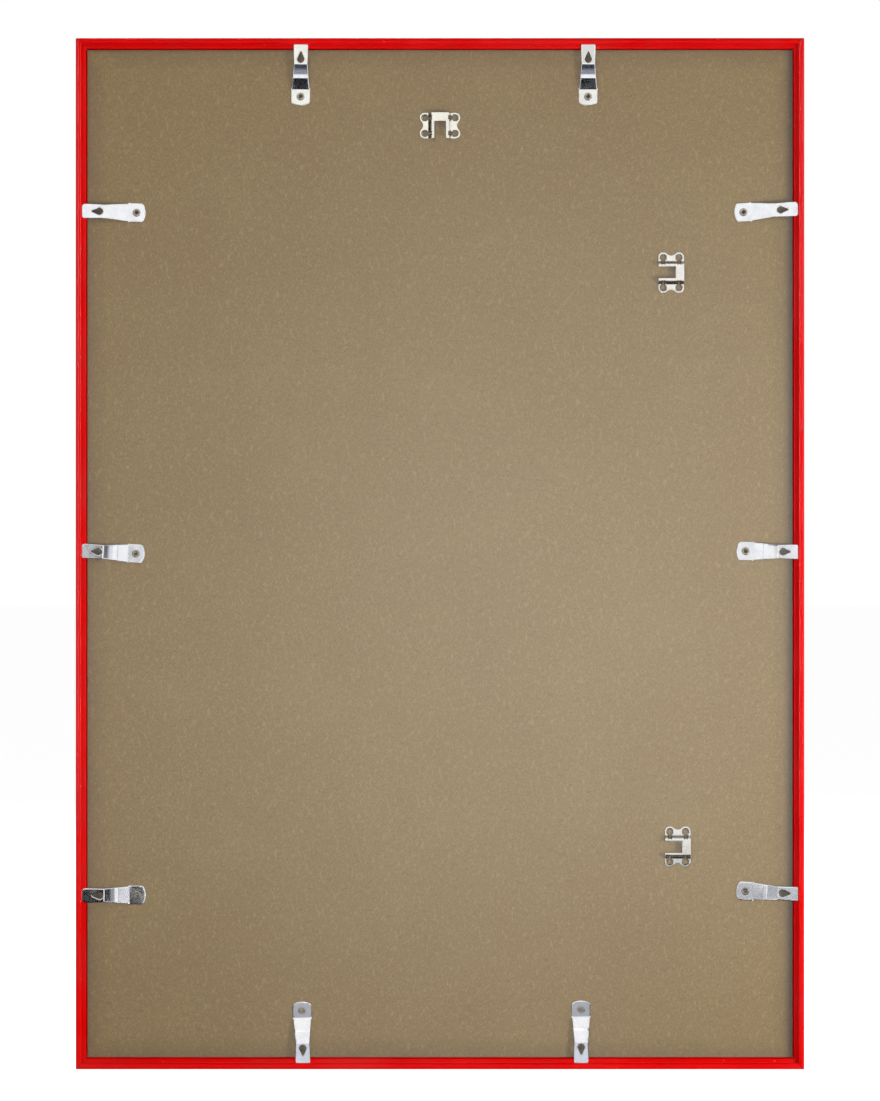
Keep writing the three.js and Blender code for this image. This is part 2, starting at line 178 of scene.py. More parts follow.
def grid_faces(rows: int, columns: int, wrap_rows: bool = False) -> Faces:
    """Four-sided faces between the points of a grid that is stored row by row, each row a ring.

    Args:
        rows: How many rows.
        columns: How many points in a row.
        wrap_rows: True if the last row meets the first.

    Returns:
        The faces' corner numbers.
    """
    row = np.arange(rows if wrap_rows else rows - 1)[:, None]
    column = np.arange(columns)[None, :]
    here, below, beside = row * columns, (row + 1) % rows * columns, (column + 1) % columns
    corners = (here + column, below + column, below + beside, here + beside)
    return np.stack(corners, axis=-1).reshape(-1, 4)


def oriented(ring: Points, anticlockwise: bool) -> Points:
    """Reverses a ring if it runs the other way round.

    Args:
        ring: Points of a closed line.
        anticlockwise: The way it has to run.

    Returns:
        The ring, or its reverse.
    """
    after = np.roll(ring, -1, axis=0)
    area = np.sum(ring[:, 0] * after[:, 1] - after[:, 0] * ring[:, 1])
    return ring if (area > 0) == anticlockwise else ring[::-1]


def refined(ring: Points, stations: NDArray, nearest: float = 0.2) -> Points:
    """Adds a point to a ring wherever it crosses one of the stations along X.

    The ring is measured by its distance round, each crossing is found on its straight run, and all
    are read off again by interpolation.

    Args:
        ring: Points of a closed line.
        stations: Places along X.
        nearest: Points closer than this to the next one are left out.

    Returns:
        The ring with the added points.
    """
    closed = np.vstack([ring, ring[:1]])
    run = np.linalg.norm(np.diff(closed, axis=0), axis=1)
    distance = np.concatenate([[0], np.cumsum(run)])
    step = np.diff(closed[:, 0])
    share = (stations[:, None] - closed[:-1, 0]) / np.where(np.abs(step) < 1e-9, 1e9, step)
    crossing = (distance[:-1] + share * run)[(share > 0) & (share < 1)]
    where = np.unique(np.concatenate([distance[:-1], crossing]))
    where = where[np.diff(where, append=distance[-1] + where[0]) > nearest]
    return np.column_stack([np.interp(where, distance, closed[:, axis]) for axis in (0, 1)])


def left_normals(ring: Points) -> Points:
    """Directions to the left of a closed line, lengthened at corners so that an offset stays parallel.

    Args:
        ring: Points of a closed line.

    Returns:
        One direction for each point: (n1 + n2) / (1 + n1 . n2) of the runs before and after it.
    """
    run = np.roll(ring, -1, axis=0) - ring
    run /= np.linalg.norm(run, axis=1, keepdims=True)
    after = np.column_stack([-run[:, 1], run[:, 0]])
    before = np.roll(after, 1, axis=0)
    return (before + after) / (1 + np.sum(before * after, axis=1, keepdims=True))


def inside(points: Points, ring: Points) -> NDArray[np.bool_]:
    """Says which points a ring encloses: those whose line towards +X crosses it an odd number of times.

    Args:
        points: Points, one a row.
        ring: Points of a closed line.

    Returns:
        True for each enclosed point.
    """
    a, b = ring, np.roll(ring, -1, axis=0)
    x, z = points[:, :1], points[:, 1:]
    spans = (a[:, 1] > z) != (b[:, 1] > z)
    rise = np.where(spans, b[:, 1] - a[:, 1], 1)
    crossing = a[:, 0] + (z - a[:, 1]) / rise * (b[:, 0] - a[:, 0])
    return (spans & (x < crossing)).sum(axis=1) % 2 == 1


def between(points: Points, rings: list[Points]) -> NDArray[np.bool_]:
    """Says which points are inside the first ring and outside the others, the holes."""
    return inside(points, rings[0]) & ~np.any([inside(points, hole) for hole in rings[1:]], axis=0)


def filled(rings: list[Points], loose: Points) -> Faces:
    """Triangles that fill the first ring, leave the other rings open and use the loose points too.

    Every run of a ring stays an edge, so a triangle belongs to the fill if its middle does.

    Args:
        rings: The outline and the holes.
        loose: Points between them.

    Returns:
        Corner numbers, counted through all rings and then the loose points.
    """
    points = np.vstack([*rings, loose])
    starts = np.cumsum([0, *(len(ring) for ring in rings)]).tolist()
    edges = [
        (start + k, start + (k + 1) % len(ring))
        for start, ring in zip(starts, rings)
        for k in range(len(ring))
    ]
    found = delaunay_2d_cdt([Vector(p) for p in points], edges, [], 0, 1e-7, True)
    origin = np.array([ids[0] for ids in found[3]])
    triangles = origin[np.array(found[2])]
    return triangles[between(points[triangles].mean(axis=1), rings)]


@dataclass
class Shell:
    """A closed surface in millimetres."""

    points: Points
    faces: list[Faces]  # arrays of corner numbers, of four-sided or three-sided faces
    flat: Points  # two flat coordinates for each point, which the grain follows
    edge: NDArray[np.float64]  # 1 on a rounded outline, -1 round a hole and 0 on a face

    def moved(self, degrees: float, origin: Triple) -> "Shell":
        """Turns the surface about +Y, x' = x cos a + z sin a and z' = z cos a - x sin a, and moves it.

        Args:
            degrees: The turn.
            origin: Where the point 0, 0, 0 goes.

        Returns:
            The moved surface.
        """
        cos, sin = math.cos(math.radians(degrees)), math.sin(math.radians(degrees))
        x, y, z = self.points.T
        points = np.column_stack([x * cos + z * sin, y, z * cos - x * sin]) + np.array(origin)
        return Shell(points, self.faces, self.flat, self.edge)

    def joined(self, other: "Shell") -> "Shell":
        """This surface and another as one mesh."""
        count = len(self.points)
        return Shell(
            np.vstack([self.points, other.points]),
            self.faces + [block + count for block in other.faces],
            np.vstack([self.flat, other.flat]),
            np.concatenate([self.edge, other.edge]),
        )

    def outward(self) -> "Shell":
        """The surface with its faces outwards: they are turned over if the volume comes out negative."""
        volume = sum(
            np.sum(self.points[b[:, 0]] * np.cross(self.points[b[:, k]], self.points[b[:, k + 1]]))
            for b in self.faces
            for k in range(1, b.shape[1] - 1)
        )
        faces = self.faces if volume > 0 else [block[:, ::-1] for block in self.faces]
        return Shell(self.points, faces, self.flat, self.edge)

    def corner_normals(self, crisp: float = 0.64) -> Points:
        """Normals for each face's corners.

        A point's normal is the sum of its faces' normals by their areas. Where it leans so far from a
        face that the cosine is lower than crisp, that face keeps its own, so cut ends stay sharp.

        Args:
            crisp: The cosine.

        Returns:
            One normal for each corner of each face, in the faces' order.
        """
        own, total = [], np.zeros_like(self.points)
        for block in self.faces:
            # A face's normal is half the cross product of its diagonals, or of a triangle's two sides.
            corners, four = self.points[block], block.shape[1] == 4
            diagonal = corners[:, 2 if four else 1] - corners[:, 0]
            other = corners[:, -1] - corners[:, 1 if four else 0]
            own.append(np.cross(diagonal, other) / 2)
            for column in block.T:
                np.add.at(total, column, own[-1])
        total /= np.maximum(np.linalg.norm(total, axis=1, keepdims=True), 1e-12)
        normals = []
        for block, normal in zip(self.faces, own):
            size = np.maximum(np.linalg.norm(normal, axis=1, keepdims=True), 1e-12)
            unit = (normal / size)[:, None, :]
            sharp = np.sum(total[block] * unit, axis=2, keepdims=True) < crisp
            normals.append(np.where(sharp, unit, total[block]).reshape(-1, 3))
        return np.vstack(normals)

    def piece(self, name: str, material: bpy.types.Material) -> bpy.types.Object:
        """Makes the mesh object of this surface, in metres and in place.

        Args:
            name: The piece's name.
            material: Its finish.

        Returns:
            The object, linked to the scene.
        """
        mesh = bpy.data.meshes.new(name)
        corners = [face for block in self.faces for face in block.tolist()]
        mesh.from_pydata((self.points * MM).tolist(), [], corners)
        numbers = np.concatenate([block.ravel() for block in self.faces])
        layer = mesh.uv_layers.new(name="lay")
        layer.data.foreach_set("uv", (self.flat[numbers] * MM).astype(np.float32).ravel())
        worn = mesh.attributes.new("edge", "FLOAT", "POINT")
        worn.data.foreach_set("value", self.edge.astype(np.float32))
        mesh.polygons.foreach_set("use_smooth", np.ones(len(corners), dtype=bool))
        mesh.normals_split_custom_set(self.corner_normals().tolist())
        mesh.materials.append(material)
        mesh.update()
        piece = bpy.data.objects.new(name, mesh)
        bpy.context.scene.collection.objects.link(piece)
        return piece


@dataclass(frozen=True)
class Fold:
    """The side view of a bent strip: straight runs, with a short curve at each bend.

    The height is that of the first run, plus for each bend the change of slope times a ramp that
    starts as a parabola: 0 before the bend, (d + s)^2 / 4s across it and d after it, where d is the
    distance from the bend and s its spread.
    """

    corners: tuple[tuple[float, float], ...]  # distance and height where it starts, bends and ends
    spread: tuple[float, ...]  # half the length of each bend

    def _runs(self) -> tuple[NDArray, NDArray, NDArray]:
        """The places of the bends, the slopes of the runs between them and half the bends' lengths."""
        x, y = np.array(self.corners).T
        return x[1:-1], np.diff(y) / np.diff(x), np.array(self.spread)

    def height(self, x: NDArray) -> NDArray:
        """Height of the strip's middle at each distance."""
        bends, slopes, spread = self._runs()
        d = np.maximum(x[..., None] - bends, -spread)
        ramp = np.where(d < spread, (d + spread) ** 2 / (4 * spread), d)
        return self.corners[0][1] + slopes[0] * (x - self.corners[0][0]) + ramp @ np.diff(slopes)

    def slope(self, x: NDArray) -> NDArray:
        """Slope of the strip at each distance."""
        bends, slopes, spread = self._runs()
        share = np.clip((x[..., None] - bends + spread) / (2 * spread), 0, 1)
        return slopes[0] + share @ np.diff(slopes)

    def stations(self, steps: int = 6) -> NDArray:
        """Places along the strip that a mesh needs to follow the bends."""
        bends, _, spread = self._runs()
        return (bends[:, None] + np.linspace(-1, 1, steps + 1) * spread[:, None]).ravel()


@dataclass(frozen=True)
class PunchedSheet:
    """Sheet metal: a flat outline with holes, rounded at its edges, laid on a fold."""

    outline: Points  # from above, lengthways and across
    holes: list[Points]
    thickness: float
    roll: tuple[float, float]  # width and depth of the soft edge that the punch leaves on the upper side
    burr: float  # radius of the edge below
    fold: Fold

    def _loose(self, rings: list[Points], pitch: float) -> Points:
        """Points in rows across the sheet, at its bends and between them, that keep clear of its edges.

        Args:
            rings: The innermost rings of its outline and holes.
            pitch: Distance between points.

        Returns:
            The points, one a row.
        """
        low, high = self.outline.min(axis=0), self.outline.max(axis=0)
        x = np.concatenate([self.fold.stations(), np.arange(low[0], high[0], pitch)])
        z = np.arange(low[1] + pitch / 2, high[1], pitch)
        points = np.stack(np.meshgrid(x, z), axis=-1).reshape(-1, 2)
        points = points[between(points, rings)]
        gap = np.linalg.norm(points[:, None, :] - np.vstack(rings)[None, :, :], axis=2).min(axis=1)
        points = points[gap > pitch / 4]
        _, first = np.unique(np.round(points, 2), axis=0, return_index=True)
        return points[np.sort(first)]

    def shell(self, pitch: float = 1.6, steps: int = 3) -> Shell:
        """Works out the surface.

        Every ring is offset into the metal by w (1 - cos a) at the height t/2 - d + d sin a, a
        quarter ellipse of the roll's width and depth at the top, and a quarter circle at the
        bottom. The space between the innermost rings is filled on both sides. A point at height h
        over the sheet's middle then goes to (x - h sin b, height(x) + h cos b), where b is the
        slope's angle.

        Args:
            pitch: Distance between points on the faces.
            steps: Steps in each rounded edge.

        Returns:
            The closed surface, with the fold's height along Y.
        """
        half = self.thickness / 2
        angle = np.radians(np.linspace(90, 0, steps + 1))
        share = np.column_stack([1 - np.cos(angle), 1 - np.sin(angle)])
        upper, lower = share * self.roll, (share * self.burr)[::-1]
        insets = np.concatenate([upper[:, 0], lower[:, 0]])
        levels = np.concatenate([half - upper[:, 1], lower[:, 1] - half])
        stations, last = self.fold.stations(), len(insets) - 1
        rings = [oriented(self.outline, True), *(oriented(hole, False) for hole in self.holes)]

        plan, heights, edge, faces, brims, start = [], [], [], [], [], 0
        for number, ring in enumerate(refined(ring, stations) for ring in rings):
            walls = ring + insets[:, None, None] * left_normals(ring)
            around = np.arange(len(ring)) + start
            plan.append(walls.reshape(-1, 2))
            heights.append(np.repeat(levels, len(ring)))
            edge.append(np.full(len(plan[-1]), -1.0 if number else 1.0))
            faces.append(grid_faces(len(insets), len(ring)) + start)
            brims.append((walls[0], around, around + last * len(ring)))
            start += len(plan[-1])
        inner, top, bottom = zip(*brims)
        loose = self._loose(inner, pitch)
        spare, triangles = np.arange(len(loose)) + start, filled(inner, loose)
        top, bottom = np.concatenate([*top, spare]), np.concatenate([*bottom, spare + len(loose)])
        plan += [loose, loose]
        heights += [np.full(len(loose), half), np.full(len(loose), -half)]
        edge.append(np.zeros(2 * len(loose)))
        faces += [top[triangles], bottom[triangles[:, ::-1]]]

        x, z = np.vstack(plan).T
        height, slope = np.concatenate(heights), self.fold.slope(x)
        length = np.sqrt(1 + slope**2)
        points = np.column_stack([x - height * slope / length, self.fold.height(x) + height / length, z])
        return Shell(points, faces, np.column_stack([x, z]), np.concatenate(edge)).outward()


def revolved(profile: Points, steps: int, wobble: float, lobes: int = 3, phase: float = 0.7) -> Shell:
    """Carries a closed profile of radius and height round the Y axis: (r cos a, h, r sin a).

    Args:
        profile: Radius and height of each point of the section.
        steps: Steps in the turn.
        wobble: Share by which the height of the profile's upper half swells and sinks.
        lobes: How many times it does that in a turn.
        phase: Where it starts, in radians.

    Returns:
        The closed surface.
    """
    angle = np.linspace(0, 2 * np.pi, steps, endpoint=False)[:, None]
    radius, height = profile.T
    swell = 1 + wobble * np.sin(lobes * angle + phase) * np.clip(height / height.max(), 0, 1)
    grid = np.stack([radius * np.cos(angle), height * swell, radius * np.sin(angle)], axis=-1)
    flat = np.stack(np.broadcast_arrays(angle * radius, height), axis=-1).reshape(-1, 2)
    faces = grid_faces(steps, len(profile), wrap_rows=True)
    return Shell(grid.reshape(-1, 3), [faces], flat, np.zeros(len(flat))).outward()


# Finishes


class Graph:
    """The nodes of one material, world or group, added and linked by short calls."""

    def __init__(self, tree: Tree) -> None:
        """Takes the tree that the nodes go into."""
        self.tree = tree

    @classmethod
    def of(cls, block: bpy.types.Material | bpy.types.World) -> "Graph":
        """The graph of a material or a world, emptied."""
        block.use_nodes = True
        block.node_tree.nodes.clear()
        return cls(block.node_tree)

    def add(self, kind: str, inputs: dict | None = None, **settings: object) -> Node:
        """Adds a node.

        Args:
            kind: Its type, without the ShaderNode in front.
            inputs: Values or sockets by input name or number.
            **settings: Properties of the node.

        Returns:
            The node.
        """
        node = self.tree.nodes.new("ShaderNode" + kind)
        for key, value in settings.items():
            setattr(node, key, value)
        for key, value in (inputs or {}).items():
            if isinstance(value, Socket):
                self.tree.links.new(value, node.inputs[key])
            else:
                node.inputs[key].default_value = value
        return node

    def math(self, operation: str, first: object, second: object = 0.0) -> Socket:
        """One step of arithmetic on two values, kept between 0 and 1."""
        return self.add("Math", {0: first, 1: second}, operation=operation, use_clamp=True).outputs[0]

    def times(self, first: object, second: object) -> Socket:
        """The product of two values, kept between 0 and 1."""
        return self.math("MULTIPLY", first, second)

    def plus(self, first: object, second: object) -> Socket:
        """The sum of two values, kept between 0 and 1."""
        return self.math("ADD", first, second)

    def most(self, first: object, second: object) -> Socket:
        """The greater of two values, kept between 0 and 1."""
        return self.math("MAXIMUM", first, second)

    def ramp(self, value: object, *ends: float) -> Socket:
        """Maps a value between the first two ends to the other two, or to 0 and 1, and stops there."""
        labels = ("From Min", "From Max", "To Min", "To Max")
        return self.add("MapRange", {"Value": value} | dict(zip(labels, ends))).outputs[0]

    def blend(self, share: object, first: object, second: object) -> Socket:
        """Mixes two colours."""
        node = self.add("Mix", {0: share, 6: first, 7: second}, data_type="RGBA", blend_type="MIX")
        return node.outputs[2]

    def noise(self, vector: Socket, scale: object, detail: float = 3.0, rough: float = 0.5) -> Socket:
        """Noise of that many swells a metre."""
        sockets = {"Vector": vector, "Scale": scale, "Detail": detail, "Roughness": rough}
        return self.add("TexNoise", sockets).outputs[0]

    def mapped(self, vector: Socket, scale: Triple, turn: Triple = (0, 0, 0)) -> Socket:
        """Stretches and turns a pattern's coordinates."""
        return self.add("Mapping", {"Vector": vector, "Scale": scale, "Rotation": turn}).outputs[0]

    def lay(self) -> Socket:
        """The piece's own flat coordinates, which the grain follows."""
        return self.add("UVMap", uv_map="lay").outputs[0]

    def place(self) -> Socket:
        """The piece's object coordinates."""
        return self.add("TexCoord").outputs["Object"]

    def edge(self) -> Socket:
        """The edge attribute: 1 on the piece's rounded outline, -1 round its holes, 0 on its faces."""
        return self.add("Attribute", attribute_name="edge").outputs["Fac"]

    def group(self, tree: Tree, vector: Socket, scale: float, amount: float, **more: Socket) -> Sockets:
        """Places a shared effect with its own values.

        Args:
            tree: The effect.
            vector: Coordinates that it follows.
            scale: Its size, as how many a metre.
            amount: Its strength.
            **more: Its other inputs.

        Returns:
            Its outputs by their names.
        """
        inputs = {"Vector": vector, "Scale": scale, "Amount": amount, **more}
        return self.add("Group", inputs, node_tree=tree).outputs

    def bump(self, height: Socket, depth: float) -> dict[str, Socket]:
        """The normal that follows a height, from 0 to 1, of that depth in metres."""
        return {"Normal": self.add("Bump", {"Height": height, "Distance": depth}).outputs[0]}

    def principled(self, tone: object, roughness: object, more: dict[str, object]) -> Node:
        """Adds a material's shader, with its base colour, its roughness and other inputs."""
        return self.add("BsdfPrincipled", {"Base Color": tone, "Roughness": roughness} | more)


def new_group(name: str, effect: Callable[[Graph, Sockets], Sockets], *more: str) -> Tree:
    """Makes a node group with the inputs Vector, Scale and Amount.

    Args:
        name: The group's name.
        effect: Adds its nodes, given its graph and inputs, and returns its outputs, all of them values.
        *more: Names of its other inputs, all of them values.

    Returns:
        The group.
    """
    tree = bpy.data.node_groups.new(name, "ShaderNodeTree")
    for label in ("Vector", *more, "Scale", "Amount"):
        kind = "NodeSocketVector" if label == "Vector" else "NodeSocketFloat"
        tree.interface.new_socket(name=label, in_out="INPUT", socket_type=kind)
    outputs = effect(Graph(tree), tree.nodes.new("NodeGroupInput").outputs)
    for label in outputs:
        tree.interface.new_socket(name=label, in_out="OUTPUT", socket_type="NodeSocketFloat")
    end = tree.nodes.new("NodeGroupOutput")
    for label, socket in outputs.items():
        tree.links.new(socket, end.inputs[label])
    return tree


class SharedEffects:
    """The node groups that more than one finish places."""

    def __init__(self) -> None:
        """Builds each group once."""
        self.wear = new_group("rubbed_edges", self._wear, "Edge")
        self.lines = new_group("lengthways_lines", self._lines)
        self.dust = new_group("settled_dust", self._dust)
        self.flecks = new_group("short_fibres", self._flecks)

    @staticmethod
    def _wear(graph: Graph, given: Sockets) -> Sockets:
        """A mask of rubbed edges: the mask of all edges, broken up by noise."""
        patches = graph.ramp(graph.noise(given["Vector"], given["Scale"], 4.0, 0.6), 0.42, 0.66)
        return {"Mask": graph.times(graph.times(patches, given["Edge"]), given["Amount"])}

    @staticmethod
    def _lines(graph: Graph, given: Sockets) -> Sockets:
        """Fine lines along X of the coordinates: noise that is stretched lengthways, coarse and fine."""
        coarse, fine = (
            graph.noise(graph.mapped(given["Vector"], stretch), given["Scale"], 2.0, 0.6)
            for stretch in ((0.02, 1.0, 1.0), (0.05, 3.1, 3.1))
        )
        both = graph.plus(graph.times(coarse, 0.55), graph.times(fine, 0.45))
        return {"Mask": graph.times(graph.ramp(both, 0.36, 0.64), given["Amount"]), "Height": both}

    @staticmethod
    def _dust(graph: Graph, given: Sockets) -> Sockets:
        """A mask of small specks, in a few of the cells of a Voronoi pattern, and a thin uneven veil."""
        cells = graph.add("TexVoronoi", {"Vector": given["Vector"], "Scale": given["Scale"]}).outputs
        chance = graph.ramp(graph.add("SeparateColor", {0: cells["Color"]}).outputs[0], 0.86, 0.9)
        dots = graph.times(graph.ramp(cells["Distance"], 0.2, 0.1), chance)
        veil = graph.ramp(graph.noise(given["Vector"], 9.0, 4.0, 0.6), 0.45, 0.8, 0.0, 0.25)
        return {"Mask": graph.times(graph.most(dots, veil), given["Amount"])}

    @staticmethod
    def _flecks(graph: Graph, given: Sockets) -> Sockets:
        """Short fibres that lie two ways, as a dark mask, a pale mask and a height."""
        one, other = (
            graph.noise(graph.mapped(given["Vector"], stretch, (0, turn, 0)), given["Scale"], 3.5, 0.62)
            for stretch, turn in (((1.0, 1.0, 2.6), 0.35), ((2.2, 1.0, 1.0), -0.5))
        )
        return {
            "Dark": graph.times(graph.ramp(one, 0.46, 0.3), given["Amount"]),
            "Pale": graph.times(graph.ramp(other, 0.54, 0.7), given["Amount"]),
            "Height": graph.times(graph.plus(one, other), 0.5),
        }


@dataclass(frozen=True)
class Finish(ABC):
    """What a piece is made of and how it looks."""

    name: str  # the material's name
    slot: str  # the record's slot that it belongs to

    def material(self, effects: SharedEffects) -> bpy.types.Material:
        """Makes the material, with its shader linked to its output.

        Args:
            effects: The shared node groups.

        Returns:
            The material.
        """
        material = bpy.data.materials.new(self.name)
        graph = Graph.of(material)
        graph.add("OutputMaterial", {"Surface": self.shader(graph, effects).outputs[0]})
        return material

    @abstractmethod
    def shader(self, graph: Graph, effects: SharedEffects) -> Node:
        """Adds the finish's nodes.

        Args:
            graph: The material's nodes.
            effects: The shared node groups.

        Returns:
            The shader node.
        """


@dataclass(frozen=True)
class GlossPlastic(Finish):
    """Glossy extruded plastic, with faint die lines and a few rubbed spots."""

    colour: Colour
    deep: Colour  # in slightly darker streaks
    scuffed: Colour  # where edges are rubbed
    dusty: Colour  # where dust lies

    def shader(self, graph: Graph, effects: SharedEffects) -> Node:
        """Two shades, rubbed at the edges and a little dusty, over waves and die lines."""
        lay, place = graph.lay(), graph.place()
        lines = graph.group(effects.lines, lay, 900.0, 1.0)["Height"]
        edges = graph.math("ABSOLUTE", graph.edge())
        wear = graph.group(effects.wear, place, 70.0, 0.35, Edge=edges)["Mask"]
        dust = graph.group(effects.dust, place, 160.0, 0.1)["Mask"]
        tone = graph.blend(graph.ramp(graph.noise(place, 14.0), 0.35, 0.65), self.colour, self.deep)
        tone = graph.blend(dust, graph.blend(wear, tone, self.scuffed), self.dusty)
        waves = graph.noise(graph.mapped(lay, (0.25, 1.0, 1.0)), 60.0, 2.0, 0.45)
        height = graph.plus(graph.times(waves, 0.9), graph.times(lines, 0.1))
        gloss = graph.ramp(graph.noise(place, 45.0, 4.0), 0.3, 0.7, 0.12, 0.2)
        roughness = graph.plus(gloss, graph.times(graph.most(wear, dust), 0.5))
        relief = graph.bump(height, 0.00004)
        return graph.principled(tone, roughness, {"Specular IOR Level": 0.06} | relief)


@dataclass(frozen=True)
class PlatedSteel(Finish):
    """Bright plated sheet steel with fine rolling lines."""

    colour: Colour
    dull: Colour  # where the plating has dulled
    roughness: tuple[float, float]  # lowest and highest
    line_scale: float  # rolling lines a metre
    hole_shade_depth: float  # how dark the painted shade round the holes' edges is
    rubbed: Colour = srgb(205, 203, 198)  # where edges are rubbed
    hole_shade_tone: Colour = srgb(62, 54, 44)  # the painted shade round the holes

    def shader(self, graph: Graph, effects: SharedEffects) -> Node:
        """Clouded plating, rubbed at the edges, with painted shade round the holes and rolling lines."""
        place = graph.place()
        lines = graph.group(effects.lines, graph.lay(), self.line_scale, 1.0)
        edges = graph.math("ABSOLUTE", graph.edge())
        wear = graph.group(effects.wear, place, 300.0, 0.5, Edge=edges)["Mask"]
        clouds = graph.ramp(graph.noise(place, 90.0, 4.0, 0.6), 0.4, 0.72)
        tone = graph.blend(graph.times(clouds, 0.3), self.colour, self.dull)
        patchy = graph.ramp(graph.noise(place, 700.0, 3.0), 0.3, 0.6, 0.7, 1.0)
        # Painted shade: a darker ring round each hole's edge, where shade falls into the hole.
        holes = graph.ramp(graph.edge(), -0.15, -0.75)
        hole_shade_mask = graph.times(holes, graph.times(patchy, self.hole_shade_depth))
        tone = graph.blend(hole_shade_mask, graph.blend(wear, tone, self.rubbed), self.hole_shade_tone)
        gloss = graph.ramp(lines["Mask"], 0.0, 1.0, *self.roughness)
        roughness = graph.plus(gloss, graph.times(graph.most(graph.times(clouds, 0.15), hole_shade_mask), 0.4))
        ripple = graph.noise(place, 150.0, 2.0, 0.4)
        height = graph.plus(graph.times(lines["Height"], 0.12), graph.times(ripple, 0.88))
        return graph.principled(tone, roughness, {"Metallic": 1.0} | graph.bump(height, 0.00002))


@dataclass(frozen=True)
class PressedFibre(Finish):
    """The smooth side of hardboard: mottled, with short dark and pale fibres. Lengths are in metres.

    Two shades are painted on it to match the photograph, and neither is a stain or wear that it shows:
    painted shade in a band beside the rails, with a painted shadow of one rail, and painted shade in a
    spot below each keyhole.
    """

    colour: Colour
    warm: Colour  # in browner clouds
    dark: Colour  # of the dark fibres
    pale: Colour  # of the pale fibres and the dust
    border_shade: Colour  # painted shade beside the rails
    keyhole_shade: Colour  # painted shade below the clips' keyholes
    half: tuple[float, float]  # half the width and height of what shows between the rails
    border_width: float = 0.02  # of the faint painted shade beside all four rails
    shadow_band_width: float = 0.009  # of the darker painted shadow along one long side
    reach: float = 0.0385  # clip's eyelet to the middle of the spot below its keyhole
    spot: float = 0.008  # size of that spot
    spot_core: float = 0.3  # share of it that is darkest
    spot_strength: float = 0.8  # how dark it is there
    spot_fall: float = 0.001  # how far the side clips' spots lie below their eyelets

    def border(self, graph: Graph, place: Socket) -> Socket:
        """Makes the mask of the painted shade beside the rails, most of it a painted shadow of the right
        rail along the board's -X edge.

        Args:
            graph: The material's nodes.
            place: The object coordinates.

        Returns:
            The mask.
        """
        x, _, z = graph.add("SeparateXYZ", {0: place}).outputs
        across, upright = (
            graph.ramp(graph.math("ABSOLUTE", along), half - self.border_width, half)
            for along, half in zip((x, z), self.half)
        )
        patchy = graph.ramp(graph.noise(place, 40.0), 0.3, 0.7, 0.22, 0.34)
        # Painted shadow of the right rail, along the board's -X edge.
        shadow_band = graph.ramp(graph.times(x, -1.0), self.half[0] - self.shadow_band_width, self.half[0], 0.0, 0.5)
        return graph.plus(graph.times(graph.most(across, upright), patchy), shadow_band)

    def spots(self, graph: Graph, place: Socket) -> Socket:
        """Makes the mask of the ragged spots of painted shade below the clips' keyholes.

        They darken what a keyhole shows. No tip reaches the board to rub it, and a spot stays where
        it is when its clip is turned.

        Args:
            graph: The material's nodes.
            place: The object coordinates.

        Returns:
            The mask.
        """
        mask, ragged = 0.0, graph.ramp(graph.noise(place, 260.0), 0.3, 0.7, -0.0015, 0.003)
        for joint in frame["joints"]:
            x, _, z = joint["pos_m"]
            if abs(x) / self.half[0] > abs(z) / self.half[1]:
                centre = (x + math.copysign(self.reach, x), 0.0, z - self.spot_fall)
            else:
                centre = (x, 0.0, z + math.copysign(self.reach, z))
            gap = graph.add("VectorMath", {0: place, 1: centre}, operation="DISTANCE").outputs["Value"]
            ends = (self.spot, self.spot_core * self.spot, 0.0, self.spot_strength)
            mask = graph.most(mask, graph.ramp(graph.plus(gap, ragged), *ends))
        return mask

    def shader(self, graph: Graph, effects: SharedEffects) -> Node:
        """Clouds, fibres, dust, the painted shade beside the rails and the painted shade of the
        keyholes' spots, in that order.
        """
        place = graph.place()
        clouds = graph.ramp(graph.noise(place, 9.0, 5.0, 0.6), 0.32, 0.68)
        tone = graph.blend(clouds, self.colour, self.warm)
        fine = graph.group(effects.flecks, place, 420.0, 0.9)
        coarse = graph.group(effects.flecks, place, 130.0, 0.5)
        tone = graph.blend(graph.most(fine["Dark"], coarse["Dark"]), tone, self.dark)
        tone = graph.blend(graph.most(fine["Pale"], coarse["Pale"]), tone, self.pale)
        tone = graph.blend(graph.group(effects.dust, place, 120.0, 0.25)["Mask"], tone, self.pale)
        # Painted shade and shadow beside the rails, then painted shade below the keyholes.
        tone = graph.blend(self.border(graph, place), tone, self.border_shade)
        tone = graph.blend(self.spots(graph, place), tone, self.keyhole_shade)
        roughness = graph.ramp(fine["Height"], 0.3, 0.7, 0.36, 0.46)
        relief = graph.bump(fine["Height"], 0.00012)
        return graph.principled(tone, roughness, {"Specular IOR Level": 0.28} | relief)


@dataclass(frozen=True)
class PlainPaper(Finish):
    """Matt poster paper with a faint fibre."""

    colour: Colour
    shade: Colour  # in thicker places

    def shader(self, graph: Graph, effects: SharedEffects) -> Node:
        """Faint clouds and fibres."""
        place = graph.place()
        fibres = graph.group(effects.flecks, place, 700.0, 0.2)
        clouds = graph.times(graph.ramp(graph.noise(place, 9.0, 4.0), 0.3, 0.7), 0.3)
        tone = graph.blend(graph.most(clouds, fibres["Dark"]), self.colour, self.shade)
        roughness = graph.ramp(fibres["Height"], 0.3, 0.7, 0.6, 0.75)
        return graph.principled(tone, roughness, graph.bump(fibres["Height"], 0.00001))


